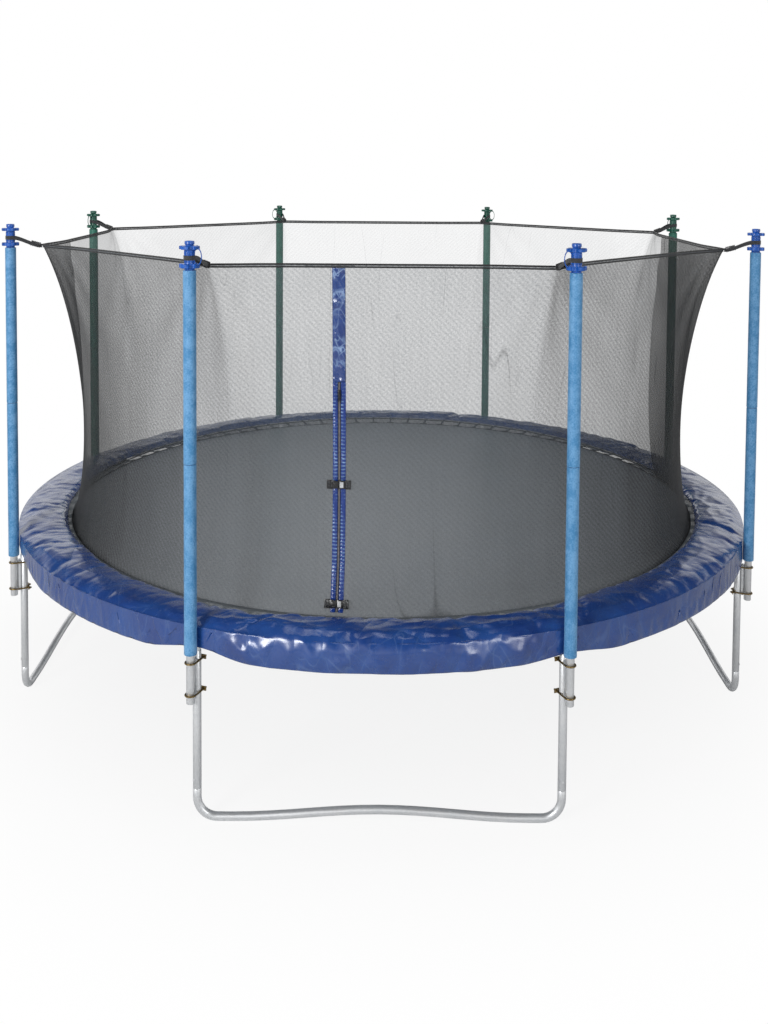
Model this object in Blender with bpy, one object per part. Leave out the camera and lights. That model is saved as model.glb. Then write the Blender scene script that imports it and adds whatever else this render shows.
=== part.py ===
"""Round garden trampoline with an inner safety net on eight poles.

Metres, +Z up. The origin is on the floor under the middle of the jumping mat, and the door is at -Y.
"""

import math

import bmesh
import bpy
from mathutils import Matrix, Vector, geometry

# Fits
SEAT_GAP = 0.0003  # between pieces that touch
FLATNESS = 0.00005  # how far a face's corner may lie off its plane
FIT_GAP = 0.0005  # between a narrowed end and the bore round it

# Steel tube
TUBE_RADIUS = 0.019
TUBE_WALL = 0.0016
TUBE_SIDES = 8
SWAGE_LENGTH = 0.050  # how far a narrowed end reaches into the next tube
SHOULDER = 0.003  # thickness of the step where a tube narrows

# Rim
LEG_COUNT = 8
RIM_RADIUS = 2.116
RIM_HEIGHT = 0.870
RAIL_STEPS = 6  # straight steps in one rail's curve

# Legs
STUB_LENGTH = 0.095  # from the rim's centre down to the upright's top
BASE_HEIGHT = 0.149  # where an upright meets its base
BEND_RADIUS = 0.090
BEND_STEPS = 3
FOOT_LENGTH = 0.080  # flat stretch that stands on the floor
BASE_RISE = 0.035  # how much the middle of a base is raised
RISE_STEPS = 2

# Enclosure poles
POLE_RISE = 1.590  # from the rim's centre to the pole's top
FOAM_THICKNESS = 0.0092
SLEEVE_CLEARANCE = 0.0008  # between the sleeve and the pad's skirt
CLAMP_MARGIN = 0.037  # from the upright's top down to the upper rod
CLAMP_SPACING = 0.144  # between the two rods
POLE_TAIL = 0.038  # pole below the lower rod
SLEEVE_LIFT = 0.038  # from the upper rod to the foam
ROD_RADIUS = 0.004
ROD_SIDES = 4
ROD_BENDS = 4
ROD_TAIL = 0.012  # thread that stands past the saddle
SADDLE_THICKNESS = 0.005
SADDLE_HEIGHT = 0.020
SADDLE_MARGIN = 0.010  # past the rods at each end
SPACER_MARGIN = 0.012  # past the rods above and below

# Pole caps, from the bottom up
CAP_SIDES = 12
CAP_PLUG = 0.040  # inside the pole
CAP_COLLAR_RADIUS = 0.022
CAP_COLLAR = 0.009
CAP_FLANGE_RADIUS = 0.0445
CAP_LOWER_FLANGE = 0.019
CAP_NECK_RADIUS = 0.023
CAP_NECK = 0.061
CAP_UPPER_FLANGE = 0.016
CAP_KNOB_RADIUS = 0.0215
CAP_KNOB = 0.021
CAP_LOBES = 4
CAP_LOBE_DEPTH = 0.55  # share of the flange that is lost between two lobes

# Jumping mat and springs
SPRING_SPACE = 0.276  # from the mat's edge to the rim's centre
MAT_THICKNESS = 0.004
SPRING_COUNT = 88
RING_BAND_WIDTH = 0.012  # webbing that holds the V-rings
RING_BAND_THICKNESS = 0.008
V_RING_LENGTH = 0.035
SPRING_WIDTH = 0.015
SPRING_HOOK_LENGTH = 0.022
SPRING_HOOK_WIDTH = 0.005

# Spring pad
PAD_NET_GAP = 0.018  # from the net's foot to the pad
PAD_REAR_PULL = 0.120  # how far the pad's inner edge lies back at the rear
PAD_EDGE = 0.010
PAD_CROWN = 0.014
PAD_SEAM_DEPTH = 0.005
PAD_DROOP = 0.006  # how much lower the outer edge lies
SKIRT_DROP = 0.112  # below the rim's centre
SKIRT_THICKNESS = 0.0025
SKIRT_CLEARANCE = 0.0012  # to the rim inside it

# Safety net
NET_STEPS = 4  # columns in one side of the net
NET_ROWS = 7
NET_THICKNESS = 0.0015
NET_LIFT = 0.015  # of the hem's top over the poles' tops
NET_INSET = 0.002  # of the net's foot from the band's outer corners
NET_CORNER_REACH = 0.203  # from a pole's centre in to the net's corner
NET_WAIST = 0.060  # how far the net draws in
NET_WAIST_POWER = 0.6  # puts the waist below the middle
NET_CORNER_POWER = 2.6  # how fast the corners fade below the hem
HEM_HEIGHT = 0.018
HEM_THICKNESS = 0.012

# Corner straps
STRAP_THICKNESS = 0.003
STRAP_WIDTH = 0.022
STRAP_LIFT = 0.014  # above the cap's lower flange
STRAP_BENDS = 4
TENSIONER_LENGTH = 0.060
TENSIONER_WIDTH = 0.016
TENSIONER_HEIGHT = 0.030

# Door
DOOR_ANGLE = math.radians(263.8)
DOOR_LIFT = 0.021  # of the tape's end over the net's foot
DOOR_TOP_MARGIN = 0.007  # below the hem
ZIP_TOP = 1.070  # above the rim's centre
TAPE_WIDTH = 0.060
DOOR_MARGIN = 0.002  # level net beside each tape
TAPE_THICKNESS = 0.0025
CHAIN_WIDTH = 0.012
CHAIN_THICKNESS = 0.005
SEAM_THICKNESS = 0.003  # where the strip goes on above the zip
SLIDER_REST = 1.015  # above the rim's centre, when the door is shut
SLIDER_TRAVEL = 0.345  # down to the upper buckle
SLIDER_LIFT = 0.0012  # over the chain
SLIDER_SIZE = (0.014, 0.032, 0.006)  # across, along and away from the zip
PULL_SIZE = (0.009, 0.040, 0.003)

# Side-release buckles across the door
BUCKLE_PLACES = {"upper": 0.595, "lower": 0.062}  # above the rim's centre
BUCKLE_WIDTH = 0.110
BUCKLE_HEIGHT = 0.040
BUCKLE_DEPTH = 0.014
BUCKLE_WALL = 0.003
BUCKLE_LIFT = 0.0008  # over the chain
BUCKLE_FOOT = (0.018, 0.020)  # what joins the socket to its tape, across and along
POCKET_DEPTH = 0.034
PRONG_LENGTH = 0.030
BUCKLE_SPLIT = 0.001  # between the two halves of a shut buckle

SECTOR = 2 * math.pi / LEG_COUNT
RAIL_STEP = SECTOR / RAIL_STEPS
NET_STEP = SECTOR / NET_STEPS
TUBE_FLAT = TUBE_RADIUS * math.cos(math.pi / TUBE_SIDES)  # from the centre to the middle of a flat
BORE_RADIUS = TUBE_RADIUS - TUBE_WALL
SWAGE_RADIUS = BORE_RADIUS - FIT_GAP
SWAGE_BORE = SWAGE_RADIUS - TUBE_WALL
LEG_TOP = RIM_HEIGHT - STUB_LENGTH
SKIRT_INSIDE = RIM_RADIUS + TUBE_RADIUS + SKIRT_CLEARANCE
SKIRT_OUTSIDE = SKIRT_INSIDE + SKIRT_THICKNESS
SLEEVE_BORE = TUBE_RADIUS + SEAT_GAP
SLEEVE_RADIUS = SLEEVE_BORE + FOAM_THICKNESS
POLE_RADIUS = SKIRT_OUTSIDE + SLEEVE_CLEARANCE + SLEEVE_RADIUS  # from the middle to a pole
POLE_TOP = RIM_HEIGHT + POLE_RISE
CLAMP_HIGH = LEG_TOP - CLAMP_MARGIN
CLAMP_LOW = CLAMP_HIGH - CLAMP_SPACING
MAT_RADIUS = RIM_RADIUS - SPRING_SPACE
BAND_INSIDE = MAT_RADIUS + SEAT_GAP
BAND_OUTSIDE = BAND_INSIDE + RING_BAND_WIDTH
NET_FOOT_RADIUS = BAND_OUTSIDE - NET_INSET
NET_CORNER_RADIUS = POLE_RADIUS - NET_CORNER_REACH
NET_BOTTOM = RIM_HEIGHT + RING_BAND_THICKNESS / 2 + SEAT_GAP
NET_TOP = POLE_TOP + NET_LIFT
HEM_BOTTOM = NET_TOP - HEM_HEIGHT
PAD_INNER_RADIUS = NET_FOOT_RADIUS + PAD_NET_GAP
DOOR_AWAY = Vector((math.cos(DOOR_ANGLE), math.sin(DOOR_ANGLE), 0))
DOOR_ACROSS = Vector((-math.sin(DOOR_ANGLE), math.cos(DOOR_ANGLE), 0))
UP = Vector((0, 0, 1))

STEEL = {"roughness": 0.3, "metallic": 1.0}
FOAM = {"roughness": 0.7, "metallic": 0.0}
PLASTIC = {"roughness": 0.4, "metallic": 0.0}
CLOTH = {"roughness": 0.8, "metallic": 0.0}
FINISHES = {
    "galvanised": {"color": (0.70, 0.71, 0.72), **STEEL},
    "zinc": {"color": (0.62, 0.47, 0.20), **STEEL},
    "spring_steel": {"color": (0.55, 0.56, 0.58), **STEEL},
    "blue_foam": {"color": (0.03, 0.22, 0.60), **FOAM},
    "green_foam": {"color": (0.02, 0.20, 0.13), **FOAM},
    "blue_plastic": {"color": (0.02, 0.14, 0.50), **PLASTIC},
    "green_plastic": {"color": (0.01, 0.16, 0.10), **PLASTIC},
    "black_plastic": {"color": (0.02, 0.02, 0.02), **PLASTIC},
    "blue_vinyl": {"color": (0.01, 0.05, 0.30), "roughness": 0.25, "metallic": 0.0},
    "door_tape": {"color": (0.02, 0.07, 0.45), **PLASTIC},
    "mat_fabric": {"color": (0.03, 0.03, 0.03), **CLOTH},
    "net_fabric": {"color": (0.05, 0.05, 0.05), **CLOTH},
}


def finish(name):
    """The named material, made once."""
    material = bpy.data.materials.get(name)
    if material is None:
        values = FINISHES[name]
        material = bpy.data.materials.new(name)
        material.use_nodes = True
        shader = material.node_tree.nodes["Principled BSDF"]
        shader.inputs["Base Color"].default_value = (*values["color"], 1.0)
        shader.inputs["Roughness"].default_value = values["roughness"]
        shader.inputs["Metallic"].default_value = values["metallic"]
    return material


def radial(angle, radius=1.0, height=0.0):
    """The point at this angle and radius round the Z axis."""
    return Vector((radius * math.cos(angle), radius * math.sin(angle), height))


def polygon(centre, first, second, radius, sides, stretch=1.0):
    """A regular polygon with the middle of a flat towards first, stretched along first."""
    angles = [(i + 0.5) * 2 * math.pi / sides for i in range(sides)]
    return [centre + first * (radius * stretch * math.cos(a)) + second * (radius * math.sin(a)) for a in angles]


def rectangle(centre, first, second, width, height):
    """A rectangle that is width long along first and height long along second."""
    corners = ((-1, -1), (1, -1), (1, 1), (-1, 1))
    return [centre + first * (x * width / 2) + second * (y * height / 2) for x, y in corners]


def circle(columns, radius, height):
    """Points evenly spaced round the Z axis."""
    return [radial(i * 2 * math.pi / columns, radius, height) for i in range(columns)]


def is_warped(face):
    """Whether a four-sided face isn't flat."""
    first, second, third, fourth = (vertex.co for vertex in face.verts)
    return abs(geometry.distance_point_to_plane(fourth, first, (second - first).cross(third - first))) > FLATNESS


def solid(bm):
    """A mesh from a closed bmesh, with flat faces that point outward and smooth round sides."""
    warped = [face for face in bm.faces if len(face.verts) == 4 and is_warped(face)]
    bmesh.ops.triangulate(bm, faces=warped, quad_method="SHORT_EDGE")
    bmesh.ops.recalc_face_normals(bm, faces=bm.faces)
    mesh = bpy.data.meshes.new("solid")
    bm.to_mesh(mesh)
    bm.free()
    mesh.shade_smooth()
    mesh.set_sharp_from_angle(angle=math.radians(35))
    return mesh


def skin(bm, lower, upper):
    """Faces between two rings with as many vertices."""
    for i in range(len(lower)):
        j = (i + 1) % len(lower)
        bm.faces.new((lower[i], lower[j], upper[j], upper[i]))


def loft(rings, closed):
    """A mesh through the rings. Closed joins the last to the first, and otherwise both ends are capped."""
    bm = bmesh.new()
    made = [[bm.verts.new(point) for point in points] for points in rings]
    for lower, upper in zip(made, made[1:]):
        skin(bm, lower, upper)
    if closed:
        skin(bm, made[-1], made[0])
    else:
        bm.faces.new(made[0])
        bm.faces.new(made[-1])
    return solid(bm)


def sweep(stations, sides, binormal):
    """Rings along a route in the plane square to binormal. A station is a point and the radius there."""
    rings = []
    for i, (point, radius) in enumerate(stations):
        before = [(point - other).normalized() for other, _ in stations[:i] if other != point]
        after = [(other - point).normalized() for other, _ in stations[i + 1 :] if other != point]
        behind = before[-1] if before else after[0]
        ahead = after[0] if after else behind
        tangent = (ahead + behind).normalized()
        mitre = 1 / ahead.dot(tangent)
        rings.append(polygon(point, binormal.cross(tangent), binormal, radius, sides, mitre))
    return rings


def tube(outer, inner, binormal):
    """A tube with open ends, from the stations of its outside and of its bore."""
    return loft(sweep(outer, TUBE_SIDES, binormal) + sweep(inner, TUBE_SIDES, binormal)[::-1], closed=True)


def straight_tube(low, high, radius, bore):
    """An upright tube on the Z axis."""
    ends = (UP * low, UP * high)
    return tube([(end, radius) for end in ends], [(end, bore) for end in ends], Vector((0, 1, 0)))


def box(size, centre):
    """A box of this size."""
    bm = bmesh.new()
    bmesh.ops.create_cube(bm, size=1.0, matrix=Matrix.LocRotScale(Vector(centre), None, Vector(size)))
    mesh = bpy.data.meshes.new("box")
    bm.to_mesh(mesh)
    bm.free()
    return mesh


def join(meshes):
    """One mesh that holds all of these as separate bodies."""
    bm = bmesh.new()
    for mesh in meshes:
        bm.from_mesh(mesh)
    joined = bpy.data.meshes.new("bodies")
    bm.to_mesh(joined)
    bm.free()
    return joined


def place(name, mesh, material, matrix=None):
    """Links a mesh into the scene as a named object."""
    obj = bpy.data.objects.new(name, mesh)
    bpy.context.scene.collection.objects.link(obj)
    if not mesh.materials:
        mesh.materials.append(finish(material))
    if matrix:
        obj.matrix_world = matrix
    return obj


def combine(obj, operation, name, mesh, matrix=None):
    """Joins a mesh to an object, or cuts it out, with an exact Boolean."""
    other = place(name, mesh, obj.data.materials[0].name, matrix)
    other.hide_render = True
    other.display_type = "WIRE"
    modifier = obj.modifiers.new(name, "BOOLEAN")
    modifier.operation = operation
    modifier.object = other
    modifier.solver = "EXACT"


def leg_angle(index):
    """Where leg and pole number index stand."""
    return (index + 0.5) * SECTOR


def leg_place(index):
    """The foot of a leg's axis, turned as the base that carries it."""
    base = (index + 1) // 2 % (LEG_COUNT // 2)
    return Matrix.Translation(radial(leg_angle(index), RIM_RADIUS)) @ Matrix.Rotation(2 * base * SECTOR, 4, "Z")


def rail_radius(angle):
    """Radius of the rim's centre line at this angle, along the straight steps that it is made of."""
    offset = (angle / RAIL_STEP) % 1.0 - 0.5
    return RIM_RADIUS * math.cos(RAIL_STEP / 2) / math.cos(offset * RAIL_STEP)


def rail_mesh():
    """One curved top rail about angle 0, with a narrowed end that fits the next rail."""
    half_gap = SEAT_GAP / RIM_RADIUS / 2
    start, end = half_gap - SECTOR / 2, SECTOR / 2 - half_gap
    step_in = end - SHOULDER / RIM_RADIUS
    tip = end + SWAGE_LENGTH / RIM_RADIUS
    tip_facing = SECTOR / 2 + RAIL_STEP / 2

    def at(angle, radius, facing=None):
        outward = radial(angle if facing is None else facing)
        centre = radial(angle, rail_radius(angle), RIM_HEIGHT)
        return polygon(centre, outward, UP, radius, TUBE_SIDES, 1 / math.cos(RAIL_STEP / 2))

    curve = [start] + [(i - RAIL_STEPS / 2) * RAIL_STEP for i in range(1, RAIL_STEPS)]
    outside = [at(angle, TUBE_RADIUS) for angle in curve + [end]]
    outside += [at(end, SWAGE_RADIUS), at(tip, SWAGE_RADIUS, tip_facing)]
    inside = [at(tip, SWAGE_BORE, tip_facing), at(step_in, SWAGE_BORE), at(step_in, BORE_RADIUS)]
    inside += [at(angle, BORE_RADIUS) for angle in reversed(curve)]
    return loft(outside + inside, closed=True)


def build_rim():
    """The curved top rails, each with its leg stub."""
    curve = rail_mesh()
    stub = straight_tube(LEG_TOP - SWAGE_LENGTH, RIM_HEIGHT - TUBE_RADIUS / 3, SWAGE_RADIUS, SWAGE_BORE)
    for index in range(LEG_COUNT):
        turn = Matrix.Rotation(leg_angle(index), 4, "Z")
        rail = place(f"top_rail_{index + 1}", curve.copy(), "galvanised", turn)
        combine(rail, "UNION", f"leg_stub_{index + 1}", stub.copy(), leg_place(index))


def base_mesh():
    """One leg base about angle 0: two upright ends, two bends and a floor tube that rises in the middle."""
    half = RIM_RADIUS * math.sin(SECTOR / 2)
    floor = TUBE_FLAT  # a flat of the tube lies on the floor
    foot_end = BEND_RADIUS + FOOT_LENGTH

    def both_ends(side):
        middle = [(half, floor + BASE_RISE, side[-1][2])]
        route = side + middle + [(2 * half - along, height, radius) for along, height, radius in reversed(side)]
        across = RIM_RADIUS * math.cos(SECTOR / 2)
        return [(Vector((across, along - half, height)), radius) for along, height, radius in route]

    def run(radius):
        turns = [math.pi / 2 * i / BEND_STEPS for i in range(BEND_STEPS + 1)]
        bend = [(BEND_RADIUS * (1 - math.cos(t)), floor + BEND_RADIUS * (1 - math.sin(t))) for t in turns]
        shares = [i / RISE_STEPS for i in range(RISE_STEPS)]
        rise = [
            (foot_end + s * (half - foot_end), floor + BASE_RISE * (1 - math.cos(math.pi * s)) / 2) for s in shares
        ]
        return [(along, height, radius) for along, height in bend + rise]

    tip, step_in = BASE_HEIGHT + SWAGE_LENGTH, BASE_HEIGHT - SHOULDER
    outside = [(0, tip, SWAGE_RADIUS), (0, BASE_HEIGHT, SWAGE_RADIUS), (0, BASE_HEIGHT, TUBE_RADIUS)]
    inside = [(0, tip, SWAGE_BORE), (0, step_in, SWAGE_BORE), (0, step_in, BORE_RADIUS)]
    return tube(both_ends(outside + run(TUBE_RADIUS)), both_ends(inside + run(BORE_RADIUS)), Vector((1, 0, 0)))


def build_legs():
    """The uprights and the bases that join them in pairs."""
    upright = straight_tube(BASE_HEIGHT + SEAT_GAP, LEG_TOP, TUBE_RADIUS, BORE_RADIUS)
    for index in range(LEG_COUNT):
        place(f"leg_upright_{index + 1}", upright, "galvanised", leg_place(index))
    base = base_mesh()
    for index in range(LEG_COUNT // 2):
        place(f"leg_base_{index + 1}", base, "galvanised", Matrix.Rotation(2 * SECTOR * index, 4, "Z"))


def cap_mesh():
    """A spool-shaped pole cap: plug, collar, lobed flange, neck, lobed flange and knob."""
    plug = BORE_RADIUS * math.cos(math.pi / TUBE_SIDES) - FIT_GAP
    lower_flange = CAP_COLLAR + CAP_LOWER_FLANGE
    upper_flange = lower_flange + CAP_NECK
    knob = upper_flange + CAP_UPPER_FLANGE
    sections = [
        (plug, -CAP_PLUG, 0, False),
        (CAP_COLLAR_RADIUS, 0, CAP_COLLAR, False),
        (CAP_FLANGE_RADIUS, CAP_COLLAR, lower_flange, True),
        (CAP_NECK_RADIUS, lower_flange, upper_flange, False),
        (CAP_FLANGE_RADIUS, upper_flange, knob, True),
        (CAP_KNOB_RADIUS, knob, knob + CAP_KNOB, False),
    ]

    def reach(angle, radius, lobed):
        hollow = 1 - abs(math.cos(CAP_LOBES / 2 * angle))
        return radius * (1 - CAP_LOBE_DEPTH * hollow) if lobed else radius

    angles = [(i + 0.5) * 2 * math.pi / CAP_SIDES for i in range(CAP_SIDES)]
    rings = []
    for radius, low, high, lobed in sections:
        rings += [[radial(a, reach(a, radius, lobed), height) for a in angles] for height in (low, high)]
    return loft(rings, closed=False)


def clamp_meshes():
    """Spacer, rods and saddles of one pole's clamp, about the pole's axis, with the leg at -X."""
    offset = POLE_RADIUS - RIM_RADIUS
    side = TUBE_RADIUS + SEAT_GAP + ROD_RADIUS * math.cos(math.pi / ROD_SIDES)
    saddle = -(offset + TUBE_RADIUS + SEAT_GAP + SADDLE_THICKNESS / 2)
    tail = saddle - SADDLE_THICKNESS / 2 - ROD_TAIL
    step = math.pi / ROD_BENDS
    turns = [math.pi / 2 - step * (i + 0.5) for i in range(ROD_BENDS)]
    bend = [radial(turn, side / math.cos(step / 2)) for turn in turns]
    route = [Vector((tail, side, 0)), *bend, Vector((tail, -side, 0))]
    rods, saddles = [], []
    for height in (CLAMP_LOW, CLAMP_HIGH):
        stations = [(point + UP * height, ROD_RADIUS) for point in route]
        rods.append(loft(sweep(stations, ROD_SIDES, UP), closed=False))
        saddle_size = (SADDLE_THICKNESS, 2 * (side + SADDLE_MARGIN), SADDLE_HEIGHT)
        saddles.append(box(saddle_size, (saddle, 0, height)))
    spacer_size = (offset - 2 * TUBE_RADIUS - 2 * SEAT_GAP, 2 * side, CLAMP_SPACING + 2 * SPACER_MARGIN)
    spacer = box(spacer_size, (-offset / 2, 0, (CLAMP_HIGH + CLAMP_LOW) / 2))
    return spacer, join(rods), join(saddles)


def build_poles():
    """The enclosure poles with their foam sleeves, caps and clamps."""
    pole = straight_tube(CLAMP_LOW - POLE_TAIL, POLE_TOP - SEAT_GAP, TUBE_RADIUS, BORE_RADIUS)
    foam = straight_tube(CLAMP_HIGH + SLEEVE_LIFT, POLE_TOP - SEAT_GAP, SLEEVE_RADIUS, SLEEVE_BORE)
    cap = cap_mesh()
    spacer, rods, saddles = clamp_meshes()
    for index in range(LEG_COUNT):
        angle = leg_angle(index)
        colour = "green" if angle < math.pi else "blue"
        spot = Matrix.Translation(radial(angle, POLE_RADIUS)) @ Matrix.Rotation(angle, 4, "Z")
        edge_on = spot @ Matrix.Rotation(math.pi / TUBE_SIDES, 4, "Z")  # an edge of the tube faces the leg
        place(f"pole_{index + 1}", pole, "galvanised", edge_on)
        place(f"pole_sleeve_{index + 1}", foam.copy(), f"{colour}_foam", edge_on)
        place(f"pole_cap_{index + 1}", cap.copy(), f"{colour}_plastic", spot @ Matrix.Translation(UP * POLE_TOP))
        clamp = place(f"pole_clamp_{index + 1}", spacer, "zinc", spot)
        combine(clamp, "UNION", f"clamp_rods_{index + 1}", rods, spot)
        combine(clamp, "UNION", f"clamp_saddles_{index + 1}", saddles, spot)


def build_mat():
    """The jumping mat, a thin disc with one flat for each spring."""
    heights = (RIM_HEIGHT - MAT_THICKNESS / 2, RIM_HEIGHT + MAT_THICKNESS / 2)
    rings = [circle(SPRING_COUNT, MAT_RADIUS, height) for height in heights]
    place("jumping_mat", loft(rings, closed=False), "mat_fabric")


def add_spring(bm, angle, root):
    """One V-ring and its spring, from the band's outer face at root to the rim."""
    outward, along = radial(angle), radial(angle + math.pi / 2)
    eye = BAND_OUTSIDE + V_RING_LENGTH
    rim = rail_radius(angle) - TUBE_FLAT - SEAT_GAP
    sections = [(eye, SPRING_WIDTH), (rim - SPRING_HOOK_LENGTH, SPRING_WIDTH), (rim, SPRING_HOOK_WIDTH)]
    last = root
    for reach, width in sections:
        points = rectangle(outward * reach + UP * RIM_HEIGHT, along, UP, width, width)
        here = [bm.verts.new(point) for point in points]
        skin(bm, last, here)
        last = here
    bm.faces.new(last)


def build_springs():
    """The band of V-rings round the mat, with a spring from each of its flats to the rim."""
    low, high = RIM_HEIGHT - RING_BAND_THICKNESS / 2, RIM_HEIGHT + RING_BAND_THICKNESS / 2
    bm = bmesh.new()
    corners = [(BAND_OUTSIDE, high), (BAND_INSIDE, high), (BAND_INSIDE, low), (BAND_OUTSIDE, low)]
    rings = [[bm.verts.new(point) for point in circle(SPRING_COUNT, *corner)] for corner in corners]
    for lower, upper in zip(rings, rings[1:]):
        skin(bm, lower, upper)
    top, bottom = rings[0], rings[-1]
    for i in range(SPRING_COUNT):
        j = (i + 1) % SPRING_COUNT
        add_spring(bm, (i + 0.5) * 2 * math.pi / SPRING_COUNT, [bottom[i], bottom[j], top[j], top[i]])
    place("spring_set", solid(bm), "spring_steel")


def pad_section(angle):
    """Radius and height of the pad's corners at this angle."""
    pull = PAD_REAR_PULL * max(0.0, math.sin(angle)) ** 4  # the pad has slid out at the rear
    inner = PAD_INNER_RADIUS + pull
    width = SKIRT_OUTSIDE - inner
    seam = (0.5 + 0.5 * math.cos(LEG_COUNT * angle)) ** 4  # one seam over each joint of the rim
    crown = PAD_CROWN - PAD_SEAM_DEPTH * seam
    bottom = RIM_HEIGHT + TUBE_FLAT + SEAT_GAP
    edge = bottom + PAD_EDGE
    return [
        (inner, bottom),
        (inner, edge),
        (inner + 0.20 * width, edge + 0.8 * crown),
        (inner + 0.50 * width, edge + crown),
        (inner + 0.88 * width, edge + 0.55 * crown),
        (SKIRT_OUTSIDE, edge - PAD_DROOP),
        (SKIRT_OUTSIDE, RIM_HEIGHT - SKIRT_DROP),
        (SKIRT_INSIDE, RIM_HEIGHT - SKIRT_DROP),
        (SKIRT_INSIDE, bottom),
    ]


def build_pad():
    """The padded ring over the springs, with a skirt outside the rim."""
    angles = [i * RAIL_STEP for i in range(LEG_COUNT * RAIL_STEPS)]
    sections = [[radial(angle, *corner) for corner in pad_section(angle)] for angle in angles]
    place("spring_pad", loft(sections, closed=True), "blue_vinyl")


def net_radius(angle, height):
    """Radius of the net's outer face: a waisted tube that spreads to a corner at each pole."""
    share = (height - NET_BOTTOM) / (NET_TOP - NET_BOTTOM)
    side_middle = NET_CORNER_RADIUS * math.cos(SECTOR / 2)
    from_middle = (angle / SECTOR + 0.5) % 1.0 * SECTOR - SECTOR / 2
    level = NET_FOOT_RADIUS + (side_middle - NET_FOOT_RADIUS) * share
    waist = NET_WAIST * math.sin(math.pi * share**NET_WAIST_POWER)
    corner = side_middle * (1 / math.cos(from_middle) - 1) * share**NET_CORNER_POWER
    return level - waist + corner


def net_heights():
    """Heights of the net's rows, from its foot to its hem."""
    return [NET_BOTTOM + (HEM_BOTTOM - NET_BOTTOM) * i / NET_ROWS for i in range(NET_ROWS + 1)]


def net_ring(height, inset):
    """One row of the net, set in from its outer face, with a level stretch behind the door."""
    phase = SECTOR / 2 % NET_STEP  # the corners of an odd number of steps lie half a step off
    angles = [i * NET_STEP + phase for i in range(LEG_COUNT * NET_STEPS)]
    points = [radial(angle, net_radius(angle, height) - inset, height) for angle in angles]
    door = radial(DOOR_ANGLE, net_radius(DOOR_ANGLE, height), height) - DOOR_AWAY * inset
    half = DOOR_ACROSS * (TAPE_WIDTH / 2 + DOOR_MARGIN)
    place_in = sum(angle < DOOR_ANGLE for angle in angles)
    points[place_in:place_in] = [door - half, door + half]
    return points


def strap_meshes(index):
    """A loop of webbing from the net's corner round a cap's neck, and the tensioner at the corner."""
    angle = leg_angle(index)
    outward, along = radial(angle), radial(angle + math.pi / 2)
    strap_height = POLE_TOP + CAP_COLLAR + CAP_LOWER_FLANGE + STRAP_LIFT + STRAP_WIDTH / 2
    neck = radial(angle, POLE_RADIUS, strap_height)
    corner = radial(angle, NET_CORNER_RADIUS - NET_THICKNESS / 2, NET_TOP - HEM_HEIGHT / 2)
    loop = CAP_NECK_RADIUS + SEAT_GAP + STRAP_THICKNESS / 2
    wrap = math.pi / 2 + math.asin(loop / (neck - corner).length)  # half of the turn round the neck
    step = 2 * wrap / STRAP_BENDS
    bend = loop / math.cos(step / 2)
    turns = [wrap - step * i for i in range(STRAP_BENDS + 1)]
    start = along * (STRAP_THICKNESS * 0.6)
    points = [neck + outward * (bend * math.cos(t)) + along * (bend * math.sin(t)) for t in turns]
    points = [corner + start, *points, corner - start]
    rings = []
    for before, point, after in zip([points[0], *points], points, [*points[1:], points[-1]]):
        across = UP.cross(after - before).normalized()
        rings.append(rectangle(point, across, UP, STRAP_THICKNESS, STRAP_WIDTH))
    ends = (corner, corner + (neck - corner).normalized() * TENSIONER_LENGTH)
    tensioner = [rectangle(end, along, UP, TENSIONER_WIDTH, TENSIONER_HEIGHT) for end in ends]
    return loft(rings, closed=False), loft(tensioner, closed=False)


def build_net():
    """The net's wall with its corded hem, and a strap at each corner."""
    heights = net_heights()
    outer = [net_ring(height, 0) for height in heights]
    inner = [net_ring(height, NET_THICKNESS) for height in reversed(heights)]
    proud = (HEM_THICKNESS - NET_THICKNESS) / 2
    hem = [net_ring(height, -proud) for height in (HEM_BOTTOM, NET_TOP)]
    hem += [net_ring(height, NET_THICKNESS + proud) for height in (NET_TOP, HEM_BOTTOM)]
    net = place("safety_net", loft(outer + hem + inner, closed=True), "net_fabric")
    straps, tensioners = zip(*(strap_meshes(index) for index in range(LEG_COUNT)))
    combine(net, "UNION", "net_tensioners", join(tensioners))
    combine(net, "UNION", "net_straps", join(straps))


def door_point(height):
    """The point of the net's outer face under the middle of the door."""
    heights = net_heights()
    row = max(i for i in range(NET_ROWS) if heights[i] <= height)
    share = (height - heights[row]) / (heights[row + 1] - heights[row])
    low, high = (radial(DOOR_ANGLE, net_radius(DOOR_ANGLE, h), h) for h in heights[row : row + 2])
    return low.lerp(high, share)


def door_place(height, below):
    """A place on the door: X across to the right, Y up the door and Z out of it. Y is level with a lower point."""
    here, lower = door_point(height), door_point(height - below)
    away = DOOR_ACROSS.cross(here - lower).normalized()
    axes = Matrix((DOOR_ACROSS, away.cross(DOOR_ACROSS), away)).transposed().to_4x4()
    return Matrix.Translation(here) @ axes


def door_mesh():
    """The door's strip: two tapes with the zip's chain, and a flat seam above it."""
    bottom, top, zip_top = NET_BOTTOM + DOOR_LIFT, HEM_BOTTOM - DOOR_TOP_MARGIN, RIM_HEIGHT + ZIP_TOP
    half, chain = TAPE_WIDTH / 2, CHAIN_WIDTH / 2

    def ring(height, thickness):
        tape = SEAT_GAP + TAPE_THICKNESS
        outline = [(-half, SEAT_GAP), (half, SEAT_GAP), (half, tape), (chain, tape), (chain, SEAT_GAP + thickness)]
        outline += [(-chain, SEAT_GAP + thickness), (-chain, tape), (-half, tape)]
        return [door_point(height) + DOOR_ACROSS * x + DOOR_AWAY * y for x, y in outline]

    heights = [bottom, *(h for h in net_heights() if bottom < h < zip_top), zip_top]
    rings = [ring(height, CHAIN_THICKNESS) for height in heights]
    heights = [zip_top, *(h for h in net_heights() if zip_top < h < top), top]
    return loft(rings + [ring(height, SEAM_THICKNESS) for height in heights], closed=False)


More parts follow.
